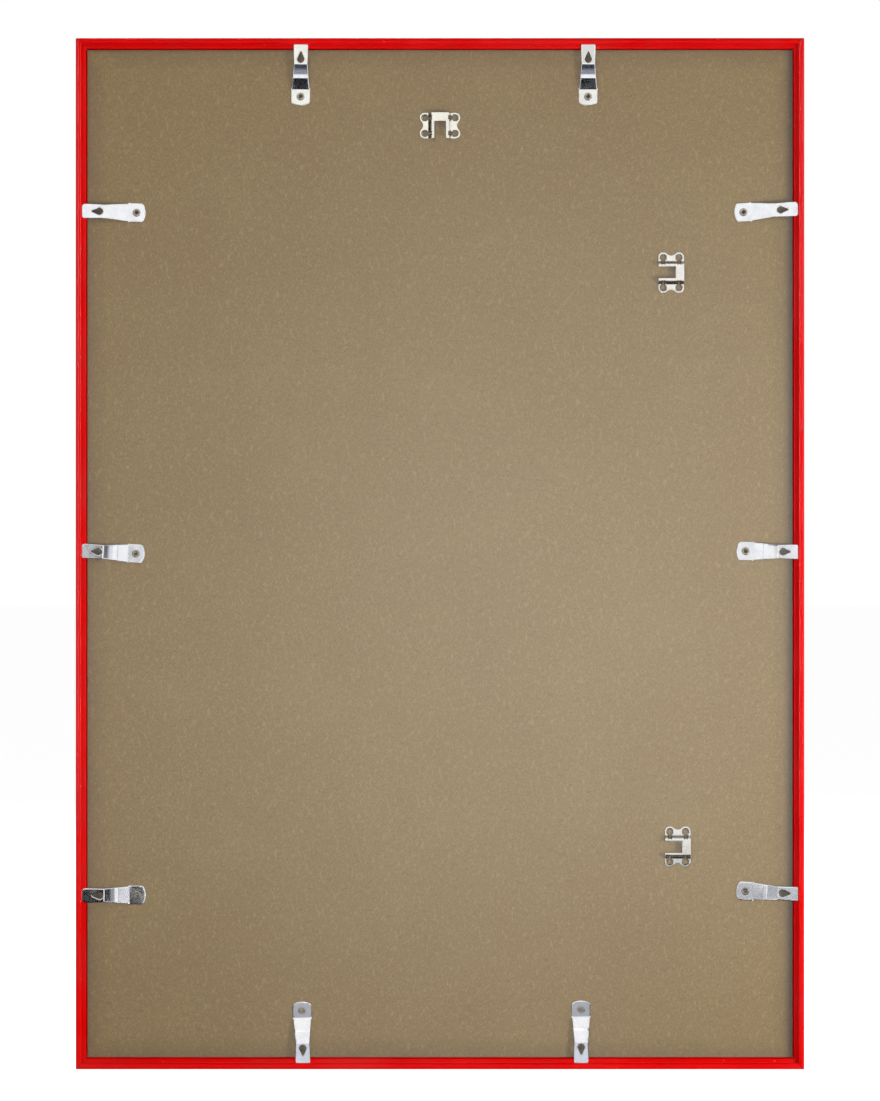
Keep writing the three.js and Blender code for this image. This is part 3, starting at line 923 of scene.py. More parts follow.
@dataclass(frozen=True)
class ClearSheet(Finish):
    """Clear acrylic with a little dust and faint wipe marks."""

    tint: Colour  # of what passes through it

    def shader(self, graph: Graph, effects: SharedEffects) -> Node:
        """Clear, and rougher where it is dusty or has been wiped."""
        place = graph.place()
        dust = graph.group(effects.dust, place, 90.0, 0.12)["Mask"]
        wiped = graph.noise(graph.mapped(place, (1.0, 1.0, 0.2), (0, 0.6, 0)), 20.0, 4.0)
        roughness = graph.plus(graph.ramp(wiped, 0.4, 0.7, 0.0, 0.04), graph.times(dust, 0.3))
        return graph.principled(self.tint, roughness, {"IOR": 1.49, "Transmission Weight": 1.0})


@dataclass(frozen=True)
class MouldedPlastic(Finish):
    """Matt moulded plastic with a fine grain."""

    colour: Colour
    rubbed: Colour  # where it has been pressed in

    def shader(self, graph: Graph, effects: SharedEffects) -> Node:
        """One colour, a little dusty, over a fine grain."""
        place = graph.place()
        grain = graph.noise(place, 900.0, 3.0)
        dust = graph.group(effects.dust, place, 400.0, 0.5)["Mask"]
        tone = graph.blend(dust, self.colour, self.rubbed)
        roughness = graph.ramp(grain, 0.3, 0.7, 0.45, 0.62)
        return graph.principled(tone, roughness, graph.bump(grain, 0.00004))


RED = GlossPlastic(
    "red_gloss",
    "red_plastic",
    colour=(0.72, 0.0008, 0.0008, 1.0),
    deep=(0.66, 0.0006, 0.0008, 1.0),
    scuffed=(0.8, 0.1, 0.09, 1.0),
    dusty=srgb(236, 205, 200),
)
# The last number of each plated steel is how dark the painted shade round its holes is.
SPRING = PlatedSteel(
    "zinc_spring", "spring_steel", srgb(244, 245, 248), srgb(196, 198, 206), (0.05, 0.1), 2200.0, 0.12
)
PRESSED = PlatedSteel(
    "zinc_pressed", "pressed_steel", srgb(247, 245, 238), srgb(205, 202, 194), (0.1, 0.18), 1800.0, 0.9
)
EYELET = PlatedSteel(
    "nickel_eyelet", "eyelet_steel", srgb(176, 169, 156), srgb(134, 126, 112), (0.18, 0.3), 1500.0, 0.5
)
BOARD = PressedFibre(
    "hardboard_back",
    "hardboard",
    colour=srgb(127, 106, 66),
    warm=srgb(120, 97, 58),
    dark=srgb(94, 76, 43),
    pale=srgb(157, 137, 98),
    border_shade=srgb(52, 42, 26),
    keyhole_shade=srgb(44, 32, 21),
    half=(0.349, 0.499),
)
PAPER = PlainPaper("poster_paper", "paper", srgb(243, 241, 236), srgb(226, 223, 216))
CLEAR = ClearSheet("clear_acrylic", "clear_glazing", (0.985, 0.995, 0.992, 1.0))
KEYS = MouldedPlastic("key_grey", "key_plastic", srgb(52, 52, 55), srgb(104, 102, 100))


# Sub-assemblies


@dataclass
class SubAssembly(ABC):
    """A set of pieces that are made and dressed together."""

    look: ClassVar[Finish]  # the finish that they share
    effects: SharedEffects

    @abstractmethod
    def build(self) -> dict[str, Shell]:
        """Works out the surface of each node."""

    def dress(self) -> None:
        """Makes the pieces, gives them their finish and has each ride on its node's body."""
        look = self.look
        material = look.material(self.effects)
        for node, shell in self.build().items():
            piece = shell.piece(f"{node}_fine", material)
            body = frame["nodes"][node]["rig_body"]
            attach(piece, body)
            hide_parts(node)
            low, high = box_of(node)
            over = np.concatenate([low - shell.points.min(axis=0), shell.points.max(axis=0) - high])
            message = "%s rides on %s, past its node's box by %.2f mm, short of it by %.2f"
            LOG.info(message, piece.name, body, over.max(), -over.min())


@dataclass
class Rails(SubAssembly):
    """Four mitred rails: one section carried along each side."""

    look: ClassVar[Finish] = RED
    depth: float = 18.0  # front to back
    face: float = 15.2  # width of the front
    rebate: float = 10.0  # outer face to rebate wall
    lip: float = 3.0  # front to the seat of the glazing
    seat_fall: float = 0.02  # how much that seat falls to the lip's edge
    ledge: float = 13.5  # front to the ledge
    ledge_round: float = 0.8  # radius of the ledge's edge
    rim: float = 6.0  # width of the rim
    groove: float = 2.2  # outer face to the bottom of the groove
    roof: float = 15.0  # front to the roof of the groove
    wall: float = 1.7  # thickness round the hollow
    crown: float = 0.7  # how far the front bulges
    front_round: float = 2.6  # radius of the front's outer edge
    lip_round: float = 1.2  # radius of the lip's edge
    rim_round: float = 0.8  # width of the rim's rounded edges
    rim_fall: float = 1.3  # their depth, as a share of their width
    rim_pull: tuple[float, float] = (0.05, 0.4)  # from the corner to the point that they lean towards
    rim_crown: float = 0.5  # how far the rim's back bulges between its rounded edges
    mitre_gap: float = 0.1  # gap between two rails
    cut_round: float = 0.12  # size of the broken edge at a mitre

    def section(self) -> Points:
        """The rail's section from above, in from the outer face and back from the front.

        Straight runs are joined by quadratic curves, and the front is one such curve between its
        two rounded edges.
        """
        rim, rebate, ledge, crown, soft = self.rim, self.rebate, self.ledge, self.crown, self.rim_round
        lip, brow, edge = self.face - self.lip_round, self.front_round, self.ledge_round
        shoulder, (pull_in, pull_down) = self.depth - self.rim_crown, self.rim_pull
        low, lean = shoulder - self.rim_fall * soft, shoulder - pull_down
        top = self.depth + self.rim_crown
        return np.vstack([
            [(rebate, self.lip + self.seat_fall), (self.face, self.lip)],
            quadratic((self.face, crown + self.lip_round), (self.face, crown), (lip, crown)),
            quadratic((lip, crown), ((lip + brow) / 2, -crown), (brow, crown), 20),
            quadratic((brow, crown), (0, crown), (0, brow + crown), 12),
            quadratic((0, low), (pull_in, lean), (soft, shoulder), 10),
            quadratic((soft, shoulder), (rim / 2, top), (rim - soft, shoulder), 20),
            quadratic((rim - soft, shoulder), (rim - pull_in, lean), (rim, low), 10),
            [(rim, self.roof), (self.groove, self.roof), (self.groove, ledge)],
            quadratic((rebate - edge, ledge), (rebate, ledge), (rebate, ledge - edge)),
        ])

    def hollow(self) -> Points:
        """The hollow's section."""
        near, far, low, high = self.wall, self.rebate - self.wall, self.lip, self.ledge - self.wall
        return np.array([(near, low), (far, low), (far, high), (near, high)])

    def rail(self, length: float) -> Shell:
        """A rail along Z.

        Each point of the section runs from its own distance from the outer face to the length less
        that distance, which cuts both ends at 45 degrees. Close to a cut the section shrinks by the
        size of the broken edge.

        Args:
            length: Length along the outer face.

        Returns:
            The closed surface, with the outer face at X = 0.
        """
        outer, inner = oriented(self.section(), True), oriented(self.hollow(), False)
        shrunk = outer + left_normals(outer) * self.cut_round
        around = np.cumsum(np.linalg.norm(np.roll(outer, 1, axis=0) - outer, axis=1))
        gap = self.mitre_gap / math.sqrt(2)
        points, flat, edge, faces, ends, start = [], [], [], [], [], 0
        for ring, loops in ((outer, (shrunk, outer, outer, shrunk)), (inner, (inner, inner))):
            for number, loop in enumerate(loops):
                cut = gap + self.cut_round if loop is outer else gap
                along = loop[:, 0] + cut if number < len(loops) / 2 else length - loop[:, 0] - cut
                points.append(np.column_stack([loop[:, 0], loop[:, 1] - self.depth / 2, along]))
                flat.append(np.column_stack([along, around if ring is outer else 0 * along]))
                edge.append(np.full(len(loop), float(loop is shrunk)))
            first, size = np.arange(len(ring)) + start, len(ring) * len(loops)
            faces.append(grid_faces(len(loops), len(ring)) + start)
            ends.append((first, first + size - len(ring)))
            start += size
        cap = filled([shrunk, inner], np.empty((0, 2)))
        front, back = (np.concatenate(numbers) for numbers in zip(*ends))
        faces += [front[cap[:, ::-1]], back[cap]]
        return Shell(np.vstack(points), faces, np.vstack(flat), np.concatenate(edge)).outward()

    def build(self) -> dict[str, Shell]:
        """Works out the surface of each node."""
        (left, _, low), (right, _, high) = (np.array(corner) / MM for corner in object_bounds())
        shells = {}
        for side, x, z, length in (
            (Side.RIGHT, left, low, high - low),
            (Side.BOTTOM, right, low, right - left),
            (Side.LEFT, right, high, high - low),
            (Side.TOP, left, high, right - left),
        ):
            shells[f"rail_{side.name.lower()}"] = self.rail(length).moved(side.value, (x, 0, z))
        return shells


@dataclass
class Clips(SubAssembly):
    """Ten sprung turn clips of bent and punched strip. Lengths run from the eyelet towards the tip."""

    look: ClassVar[Finish] = SPRING
    thickness: float = 0.8
    pad_back: float = 9.0  # length of the pad behind the eyelet
    pad_width: float = 18.6
    end_bow: float = 1.8  # how far the pad's end bows
    pad_corner: float = 1.7  # size of the pad's corners
    shoulder: float = 0.6  # step in from the pad to the slopes
    ear: float = 0.45  # how far the metal bulges at both ends of the first bend
    ear_run: tuple[float, ...] = (-1.6, -0.6, 0.3, 1.2)  # where that starts, tops and ends
    slopes: tuple[tuple[float, float], ...] = (  # place and height of each bend, from the pad to the tip
        (7.5, 0.0), (17.6, 3.04), (21.6, 3.25), (26.8, 3.88), (32.0, 4.75)
    )
    bends: tuple[float, ...] = (0.6, 0.6, 1.2, 1.8, 0.8, 0.8)  # half the length of each bend
    neck_width: float = 13.4  # at the end of the slopes
    tip_width: float = 14.2
    tip_corner: float = 4.5  # size of the tip's corners
    reach: float = 54.6  # to the tip's end
    droop: float = 0.34  # how far the tip's end leans towards the ledge
    point: float = 44.1  # to the keyhole's point
    keyhole: Triple = (11.1, 7.0, 1.8)  # its length, width and point width
    bore: float = 4.8  # diameter of the hole for the eyelet
    roll: tuple[float, float] = (0.55, 0.22)  # width and depth of the soft edge
    burr: float = 0.08  # radius of the edge below
    seat: float = 0.2  # gap under the pad
    turns: dict[str, float] = field(  # the small turn that each was left at, in degrees
        default_factory=lambda: {
            "right_lower": -3.2,
            "right_middle": -0.9,
            "right_upper": 3.2,
            "bottom_left": 1.2,
            "bottom_right": 0.1,
            "left_upper": -1.5,
            "left_middle": -3.0,
            "left_lower": 0.0,
            "top_right": -0.1,
            "top_left": -0.6,
        }
    )

    def outline(self) -> Points:
        """The clip from above: bowed pad, shoulders, a taper to the neck and a rounded tip.

        One half is put together from straight runs and quadratic curves, and mirrored.
        """
        pad, neck, tip = self.pad_width / 2, self.neck_width / 2, self.tip_width / 2
        back, bow, corner = -self.pad_back, self.end_bow - self.pad_back, self.pad_corner
        top, reach, turn = pad + self.ear, self.reach, self.reach - self.tip_corner
        ears = np.add(self.slopes[0][0], self.ear_run)
        half = np.vstack([
            quadratic((back, 0), (back, (pad - corner) / 2), (bow, pad - corner)),
            quadratic((bow, pad - corner), (bow + corner / 2, pad), (bow + 2 * corner, pad)),
            [(bow + 2 * corner, pad)],
            np.column_stack([ears, (pad, top, top, pad - self.shoulder)]),
            [(self.slopes[-1][0], neck), (self.point, tip)],
            quadratic((turn, tip), (reach, tip), (reach, tip - self.tip_corner), 12),
            [(reach, tip - self.tip_corner), (reach, 0)],
        ])
        return np.vstack([half, (half * (1, -1))[-2:0:-1]])

    def holes(self) -> list[Points]:
        """The keyhole, two arcs joined by their common tangents, and the hole for the eyelet."""
        length, width, small = self.keyhole
        big_x, small_x = self.point - length + width / 2, self.point - small / 2
        touch = math.degrees(math.acos((width - small) / 2 / (small_x - big_x)))
        keyhole = np.vstack([
            arc((big_x, 0), width / 2, touch, 360 - touch, 34),
            arc((small_x, 0), small / 2, -touch, touch, 10),
        ])
        return [keyhole, arc((0, 0), self.bore / 2, 0, 350, 36)]

    def clip(self) -> Shell:
        """A clip with its pad's underside at Y = 0 and its tip towards +X."""
        middle = self.thickness / 2
        tip = middle + self.slopes[-1][1]
        corners = (
            (-2 * self.pad_back, middle),
            *((place, middle + height) for place, height in self.slopes),
            (self.point - self.keyhole[0], tip),
            (self.reach, tip - self.droop),
        )
        fold, edges = Fold(corners, self.bends), (self.thickness, self.roll, self.burr)
        return PunchedSheet(self.outline(), self.holes(), *edges, fold).shell()

    def build(self) -> dict[str, Shell]:
        """Works out the surface of each node, with its hinge at the joint's place."""
        clip, shells = self.clip(), {}
        joints = {joint["child"]: np.array(joint["pos_m"]) / MM for joint in frame["joints"]}
        for name, turn in self.turns.items():
            side, pivot = Side[name.split("_")[0].upper()], joints[f"clip_{name}"] + (0, self.seat, 0)
            shells[f"clip_{name}"] = clip.moved(side.value + 180 + turn, tuple(pivot))
        return shells


@dataclass
class Eyelets(SubAssembly):
    """Ten tubular eyelets: flat head, tube and rolled collar. Heights are from the board's back."""

    look: ClassVar[Finish] = EYELET
    bore: float = 3.4  # diameter, as of the next three
    tube: float = 4.2
    head: float = 7.2
    collar: float = 7.8
    head_thickness: float = 0.4
    front: float = -2.9  # front of the head
    collar_seat: float = 1.2  # underside of the collar
    collar_top: float = 2.15  # crest of the collar
    collar_edge: float = 0.3  # radius of its lower edge
    swell: float = 0.015  # how uneven the crest is, as a share of its height
    turn: float = 37.0  # degrees from one eyelet to the next

    def profile(self) -> Points:
        """Radius and height of the section: the collar's back is half an ellipse."""
        bore, tube, head, collar = (size / 2 for size in (self.bore, self.tube, self.head, self.collar))
        front, seat, edge, soft = self.front, self.collar_seat, self.collar_edge, self.head_thickness / 2
        angle = np.linspace(0, np.pi, 15)
        across = (bore + collar) / 2 + (collar - bore) / 2 * np.cos(angle)
        return np.vstack([
            quadratic((bore, front + soft), (bore, front), (bore + soft, front), 4),
            quadratic((head - soft, front), (head, front), (head, front + soft), 4),
            [(head, front + 2 * soft), (tube, front + 2 * soft), (tube, seat)],
            quadratic((collar - edge, seat), (collar, seat), (collar, seat + edge), 4),
            np.column_stack([across, seat + edge + (self.collar_top - seat - edge) * np.sin(angle)]),
        ])

    def build(self) -> dict[str, Shell]:
        """Works out the surface of each node, turned a little further each time."""
        shape, shells = revolved(self.profile(), 48, self.swell), {}
        for number, node in enumerate(sorted(n for n in frame["nodes"] if n.startswith("eyelet_"))):
            low, high = box_of(node)
            x, _, z = (low + high) / 2
            shells[node] = shape.moved(self.turn * number, (x, low[1] - self.front, z))
        return shells


@dataclass
class Hangers(SubAssembly):
    """Three pressed hangers: two toothed flanges and an open bridge between them."""

    look: ClassVar[Finish] = PRESSED
    thickness: float = 0.9
    rise: float = 4.4  # height of the bridge
    bridge: float = 17.2  # its width
    opening: float = 11.4  # width of its opening
    crossbar: float = 8.6  # height of the crossbar
    riser: float = 2.5  # run of each riser
    pitch: tuple[float, float] = (30.4, 15.6)  # distance between the teeth, across and up
    lobe: float = 5.0  # radius of the lobes
    sweep: float = 40.0  # degrees of each lobe past the horizontal
    hole: float = 5.2  # diameter of the teeth's holes
    stem: float = 2.2  # width of the slot that runs into the riser
    tooth: tuple[float, float] = (2.0, 2.2)  # its width and length
    point: float = 0.15  # length of the tooth's last taper
    taper: tuple[tuple[float, float], ...] = (  # width and thickness at each level, as shares
        (1.0, 1.0), (1.0, 1.0), (0.25, 0.7), (0.02, 0.05)
    )
    play: float = 0.96  # thickness of a tooth as a share of the sheet's
    bend: float = 0.7  # half the length of each bend
    roll: tuple[float, float] = (0.5, 0.24)  # width and depth of the soft edge
    burr: float = 0.08  # radius of the edge below
    seat: float = 0.2  # gap under the flanges
    turns: dict[str, float] = field(  # in degrees
        default_factory=lambda: {
            "hanger_top": 0.0,
            "hanger_side_upper": -90.0,
            "hanger_side_lower": -90.0,
        }
    )

    def outline(self) -> Points:
        """The hanger from above: arcs round the lobes, a curve in each waist and the open bridge."""
        x, z, half = self.pitch[0] / 2, self.pitch[1] / 2, self.opening / 2
        low, sweep = z + self.lobe, math.radians(self.sweep)
        waist = (x + self.lobe * math.cos(sweep), z - self.lobe * math.sin(sweep))
        middle = waist[0] - waist[1] * math.tan(sweep)
        side = np.vstack([
            arc((x, -z), self.lobe, -90, self.sweep, 22),
            quadratic((waist[0], -waist[1]), (middle, 0), waist, 10)[1:],
            arc((x, z), self.lobe, -self.sweep, 90, 22),
        ])
        edge = low - self.crossbar
        other = (side * (-1, 1))[::-1]
        return np.vstack([side, other, [(-half, -low), (-half, edge), (half, edge), (half, -low)]])

    def slots(self) -> list[Points]:
        """The teeth's round holes, each with a stem that runs into the riser."""
        radius, half, found = self.hole / 2, self.stem / 2, []
        mouth = math.degrees(math.asin(half / radius))
        for across, up in product((-1, 1), repeat=2):
            x, z, end = across * self.pitch[0] / 2, up * self.pitch[1] / 2, across * self.bridge / 2
            start = 180 + mouth if across > 0 else mouth
            ring = arc((x, z), radius, start, start + 360 - 2 * mouth, 26)
            found.append(np.vstack([ring, [(end, z + across * half), (end, z - across * half)]]))
        return found

    def blade(self, x: float, z: float, steps: int = 16) -> Shell:
        """A tooth: a rounded rectangle that is carried down and narrows to a point.

        The section's outline is a superellipse, |x / a|^4 + |z / b|^4 = 1.

        Args:
            x: Place of the tooth.
            z: Place of the tooth.
            steps: Points round it.

        Returns:
            The closed surface.
        """
        width, length = self.tooth
        angle = np.linspace(0, 2 * np.pi, steps, endpoint=False)
        ring = np.column_stack([np.cos(angle), np.sin(angle)])
        ring /= np.sum(ring**4, axis=1, keepdims=True) ** 0.25
        end = -self.seat - length
        levels = np.array((self.thickness / 2, width / 2 + end, end + self.point, end))
        wide, thick = np.array(self.taper).T * [[width / 2], [self.thickness / 2 * self.play]]
        across, up = x + thick[:, None] * ring[:, 0], z + wide[:, None] * ring[:, 1]
        points = np.stack(np.broadcast_arrays(across, levels[:, None], up), axis=-1).reshape(-1, 3)
        first, last = np.arange(steps)[::-1], np.arange(steps) + len(points) - steps
        fans = [np.column_stack([np.full(steps - 2, b[0]), b[1:-1], b[2:]]) for b in (first, last)]
        faces = [grid_faces(len(levels), steps), *fans]
        return Shell(points, faces, points[:, (0, 2)], np.ones(len(points))).outward()

    def hanger(self) -> Shell:
        """A hanger with its flanges' underside at Y = 0 and its crossbar towards +Z."""
        low, bridge, far = self.thickness / 2, self.bridge / 2, self.pitch[0]
        foot, high = bridge + self.riser, low + self.rise
        corners = ((-far, low), (-foot, low), (-bridge, high), (bridge, high), (foot, low), (far, low))
        fold, edges = Fold(corners, (self.bend,) * 4), (self.thickness, self.roll, self.burr)
        shell = PunchedSheet(self.outline(), self.slots(), *edges, fold).shell()
        for across, up in product((-1, 1), repeat=2):
            x = across * (self.pitch[0] + self.hole) / 2
            shell = shell.joined(self.blade(x, up * self.pitch[1] / 2))
        return shell

    def build(self) -> dict[str, Shell]:
        """Works out the surface of each node."""
        shape, shells, back = self.hanger(), {}, box_of("backboard")[1][1]
        for node, turn in self.turns.items():
            x, _, z = sum(box_of(node)) / 2
            shells[node] = shape.moved(turn, (x, back + self.seat, z))
        return shells


@dataclass
class Stack:
    """The flat pieces whose own solids are shown: board, poster, glazing and corner keys."""

    effects: SharedEffects
    looks: dict[str, Finish] = field(  # by how the nodes' names start
        default_factory=lambda: {
            "backboard": BOARD,
            "poster_sheet": PAPER,
            "glazing": CLEAR,
            "corner_key": KEYS,
        }
    )

    def dress(self) -> None:
        """Gives each node its finish."""
        for start, look in self.looks.items():
            material = look.material(self.effects)
            for name in sorted(n for n in frame["nodes"] if n.startswith(start)):
                node = frame["nodes"][name]
                node.data.materials.clear()
                node.data.materials.append(material)
                LOG.info("%s keeps its own solid, finished as %s", name, look.name)


# Studio, in metres


class Lights(Enum):
    """What a lamp reaches: everything, all but mirrored gloss, or gloss alone."""

    ALL = (True, True)
    MATT = (True, False)
    GLOSS = (False, True)


@dataclass(frozen=True)
class Lamp:
    """A soft lamp."""

    name: str
    place: Triple
    aim: Triple  # the point that it faces
    size: tuple[float, float]  # its width and height
    watts: float
    colour: Triple
    lights: Lights
    only: tuple[str, ...] = ()  # how the names start of the pieces that it is kept to; nothing for all

    def light(self) -> None:
        """Adds the lamp, and keeps it to its own pieces where it names some."""
        data = bpy.data.lights.new(self.name, "AREA")
        data.shape, data.size, data.size_y, data.energy = "RECTANGLE", *self.size, self.watts
        data.color = self.colour
        holder = bpy.data.objects.new(self.name, data)
        holder.location = self.place
        toward = Vector(self.aim) - Vector(self.place)
        holder.rotation_euler = toward.to_track_quat("-Z", "Y").to_euler()
        holder.visible_diffuse, holder.visible_glossy = self.lights.value
        bpy.context.scene.collection.objects.link(holder)
        if self.only:
            lit = bpy.data.collections.new(f"lit_by_{self.name}")
            for piece in [o for o in bpy.data.objects if o.name.startswith(self.only)]:
                lit.objects.link(piece)
            holder.light_linking.receiver_collection = lit


def plane(name: str, low: Triple, high: Triple, material: bpy.types.Material) -> bpy.types.Object:
    """Adds a rectangle to the stage.

    Args:
        name: Its name.
        low: Its corner with the lowest coordinates.
        high: The corner across from that. At the same height as low, the rectangle is level.
        material: Its finish.

    Returns:
        The object.
    """
    (x0, y0, z0), (x1, y1, z1) = low, high
    second, fourth = (y0, y1) if z0 == z1 else (y1, y0)
    mesh = bpy.data.meshes.new(name)
    corners = [(x0, y0, z0), (x1, second, z0), (x1, y1, z1), (x0, fourth, z1)]
    mesh.from_pydata(corners, [], [(0, 1, 2, 3)])
    mesh.materials.append(material)
    piece = bpy.data.objects.new(name, mesh)
    bpy.context.scene.collection.objects.link(piece)
    piece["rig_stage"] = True
    return piece


@dataclass(frozen=True)
class Card:
    """A card that only glossy surfaces mirror, as metal mirrors the dark and light parts of a room."""

    name: str
    low: Triple  # its corner with the lowest coordinates
    high: Triple  # the corner across from that
    tones: tuple[Triple, ...]  # the light that it shows: one, or two to fade between
    fade: tuple[int, float, float] = ()  # axis that the fade runs along, and the places of both tones

    def hang(self) -> None:
        """Adds the card."""
        material = bpy.data.materials.new(self.name)
        graph = Graph.of(material)
        glow: object = (*self.tones[0], 1.0)
        if self.fade:
            axis, start, end = self.fade
            along = graph.add("SeparateXYZ", {0: graph.place()}).outputs[axis]
            glow = graph.blend(graph.ramp(along, start, end), *((*tone, 1.0) for tone in self.tones))
        shader = graph.add("Emission", {"Color": glow})
        graph.add("OutputMaterial", {"Surface": shader.outputs[0]})
        piece = plane(self.name, self.low, self.high, material)
        piece.visible_camera = piece.visible_diffuse = False
        piece.visible_transmission = piece.visible_shadow = False


@dataclass
class Studio:
    """The floor, the lamps, the cards, the world and the camera."""

    floor_z: float  # height of the floor
    floor_half: float = 30.0  # half its width
    image: tuple[int, int] = (880, 1101)  # width and height of the picture
    scale: float = 0.9907  # millimetres a pixel at the frame's back
    centre_row: float = 553.65  # row of the picture that the frame's middle falls on
    lens: float = 120.0  # focal length in millimetres
    sensor: float = 36.0  # the sensor's long side in millimetres
    sight: float = 100.0  # how far the camera sees
    soft: float = 0.15  # the light of the surroundings, which show at 1
    glow: float = 0.86  # the light that the floor shows of its own
    back: float = 3.9  # how far back the lamps and cards beyond the camera stand
    gap: float = 0.003  # between the floor and the cards on it

    @staticmethod
    def seen(graph: Graph) -> Socket:
        """1 for rays from the camera, from gloss and through glass, 0 for those that only light."""
        path = graph.add("LightPath").outputs
        sight = graph.most(path["Is Camera Ray"], path["Is Glossy Ray"])
        return graph.most(sight, path["Is Transmission Ray"])

    def world(self) -> None:
        """A white surrounding that gives a softer light than it shows."""
        world = bpy.data.worlds.new("studio")
        graph = Graph.of(world)
        light = graph.add("Background", {"Color": WHITE, "Strength": self.soft})
        shown = graph.add("Background", {"Color": WHITE, "Strength": 1.0})
        both = graph.add("MixShader", {0: self.seen(graph), 1: light.outputs[0], 2: shown.outputs[0]})
        graph.add("OutputWorld", {"Surface": both.outputs[0]})
        bpy.context.scene.world = world

    def floor(self) -> None:
        """A plain pale floor that the frame stands on."""
        material = bpy.data.materials.new("floor_pale")
        graph = Graph.of(material)
        sockets = {
            "Base Color": (0.82, 0.82, 0.82, 1.0),
            "Roughness": 0.9,
            "Specular IOR Level": 0.0,
            "Emission Color": WHITE,
            "Emission Strength": graph.times(self.seen(graph), self.glow),
        }
        shader = graph.add("BsdfPrincipled", sockets)
        graph.add("OutputMaterial", {"Surface": shader.outputs[0]})
        half, level = self.floor_half, self.floor_z
        plane("floor", (-half, -half, level), (half, half, level), material)

    def cards(self) -> None:
        """Cards on the floor, in front of the frame, beside it and behind the camera."""
        black, ink, dusk = (0.01, 0.01, 0.013), (0.016, 0.018, 0.028), (0.04, 0.045, 0.06)
        slate, grey, haze = (0.3, 0.32, 0.37), (0.42, 0.43, 0.46), (0.7, 0.73, 0.8)
        pale, cream, white = (0.66, 0.66, 0.66), (1.0, 0.98, 0.87), (1.0, 1.0, 1.0)
        low, back, fade = self.floor_z + self.gap, self.back, (0, 0.208, 0.262)
        for row in (
            ("tips", (-0.19, 0.02, low), (0.19, 0.26, low), (haze,)),
            ("pads", (-0.19, 0.26, low), (0.19, 0.75, low), (grey,)),
            ("near_right", (-0.9, 0.02, low), (-0.19, 1.3, low), (black,)),
            ("near_left", (0.19, 0.02, low), (0.9, 1.3, low), (black,)),
            ("floor", (-0.68, 1.5, low), (-0.27, 2.4, low), (grey,)),
            ("floor_left", (0.4, 1.3, low), (0.8, 3.0, low), (black,)),
            ("floor_far_left", (0.8, 1.3, low), (1.2, 2.9, low), (grey,)),
            ("upper_left", (0.12, 0.25, 0.4), (0.18, 0.25, 0.463), (ink, slate), (2, 0.434, 0.452)),
            ("upper_right", (-0.18, 0.25, 0.4), (-0.12, 0.25, 0.463), (ink, slate), (2, 0.434, 0.452)),
            ("steep_left", (0.13, 0.75, 0.03), (0.23, 0.75, 0.3), (black,)),
            ("steep_right", (-0.23, 0.75, 0.03), (-0.13, 0.75, 0.3), (black,)),
            ("slope_left_middle", (0.19, 0.5, -0.05), (0.3, 0.5, 0.03), (dusk, white), fade),
            ("slope_left_lower", (0.19, 0.5, -0.42), (0.326, 0.5, -0.35), (ink, white), (0, 0.23, 0.3)),
            ("slope_right_lower", (-0.29, 0.5, -0.4), (-0.19, 0.5, -0.34), (grey,)),
            ("left_in", (0.6, back, -0.3), (0.73, back, 0.3), (white, dusk), (0, 0.64, 0.68)),
            ("left_out", (0.73, back, -0.3), (0.92, back, 0.3), (dusk, white), (0, 0.835, 0.875)),
            ("right_in", (-0.73, back, -0.34), (-0.66, back, 0.2), (grey, white), (0, -0.72, -0.66)),
            ("right_out", (-0.92, back, -0.34), (-0.73, back, 0.2), (white, grey), (0, -0.84, -0.76)),
            ("tip_right", (-0.37, back - 0.01, 0.98), (-0.24, back - 0.01, 1.3), (pale,)),
            ("wall", (1.3, -0.3, -0.5), (1.3, 1.5, 0.9), (black,)),
            ("above", (-0.4, 0.25, 1.2), (-0.1, 1.15, 1.2), (dusk,)),
            ("top", (-0.6, back, 0.8), (0.6, back, 1.4), (cream,)),
        ):
            Card(f"card_{row[0]}", *row[1:]).hang()

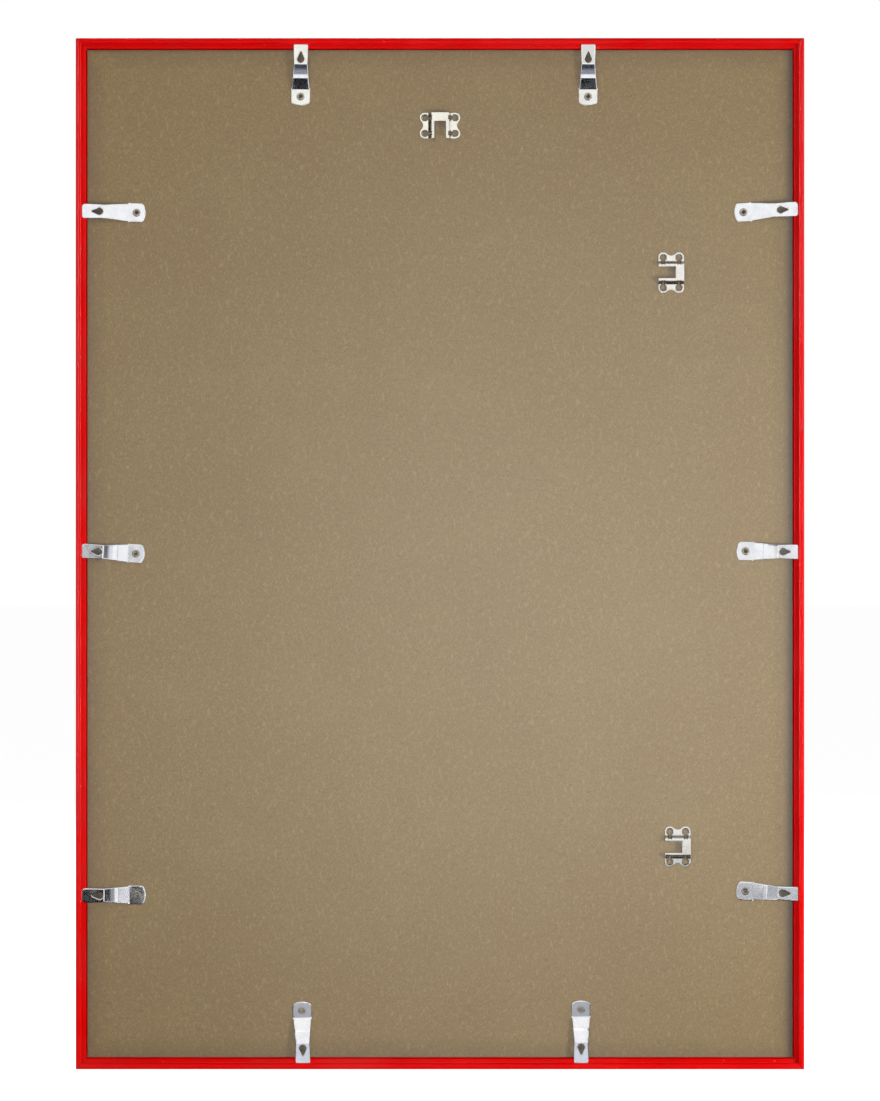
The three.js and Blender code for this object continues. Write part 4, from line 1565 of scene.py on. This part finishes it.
    def lamps(self) -> None:
        """A key lamp on the right, weaker ones on the left, below and above, one for the front, and
        gloss lamps that give the board its sheen and the rails their ridge lines."""
        middle, left, low, foot = (0.0, 0.0, 0.0), (0.35, 0.0, 0.0), (0.0, 0.0, -0.3), (0.0, 0.0, -0.4)
        warm, plain, back = (1.0, 0.975, 0.93), (1.0, 1.0, 1.0), self.back
        matt, gloss = Lights.MATT, Lights.GLOSS
        sides, levels = ("rail_left", "rail_right"), ("rail_top", "rail_bottom")
        for row in (
            ("key", (-1.6, 1.1, -0.38), low, (0.4, 0.5), 33.0, plain, matt),
            ("left", (1.6, 1.2, -0.42), low, (0.5, 0.9), 7.2, warm, matt),
            ("lower", (0.05, 1.2, -0.44), foot, (0.5, 0.1), 3.5, warm, matt),
            ("upper", (0.5, 1.3, 1.4), middle, (0.4, 0.4), 9.0, warm, matt),
            ("front", (0.4, -2.6, 1.6), middle, (1.2, 1.2), 60.0, plain, Lights.ALL),
            ("sheen", (-0.26, back, -0.16), middle, (1.0, 1.0), 118.0, plain, gloss, ("backboard",)),
            ("right_strip", (-2.14, back, 0.0), left, (0.4, 2.4), 100.0, plain, gloss, sides),
            ("left_strip", (1.6, back, 0.0), middle, (0.4, 2.4), 190.0, plain, gloss, sides),
            ("level_strip", (0.0, back, -0.07), middle, (1.7, 0.4), 9.0, plain, gloss, levels),
        ):
            Lamp(*row).light()

    def camera(self) -> None:
        """A level camera straight behind the frame, far enough for the picture's scale."""
        scene, rows = bpy.context.scene, self.image[1]
        data = bpy.data.cameras.new("camera")
        data.lens, data.sensor_width, data.clip_end = self.lens, self.sensor, self.sight
        camera = bpy.data.objects.new("camera", data)
        distance = rows * self.scale * MM * self.lens / self.sensor
        height = (self.centre_row - rows / 2) * self.scale * MM
        camera.location = (0.0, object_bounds()[1][1] + distance, height)
        camera.rotation_euler = (math.pi / 2, 0.0, math.pi)
        scene.collection.objects.link(camera)
        scene.camera = camera
        scene.view_settings.view_transform = "Standard"

    def set_up(self) -> None:
        """Makes what the pieces stand in. The lamps come after the pieces, since some name theirs."""
        self.camera()
        self.world()
        self.floor()
        self.cards()


def main() -> None:
    logging.basicConfig(level=logging.INFO, format="%(message)s")
    packed = [list(corner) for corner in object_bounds()]
    studio = Studio(floor_z=packed[0][2] - FLOOR_GAP)
    studio.set_up()
    effects = SharedEffects()
    for kind in (Rails, Clips, Eyelets, Hangers):
        kind(effects).dress()
    Stack(effects).dress()
    studio.lamps()


if __name__ == "__main__":
    main()
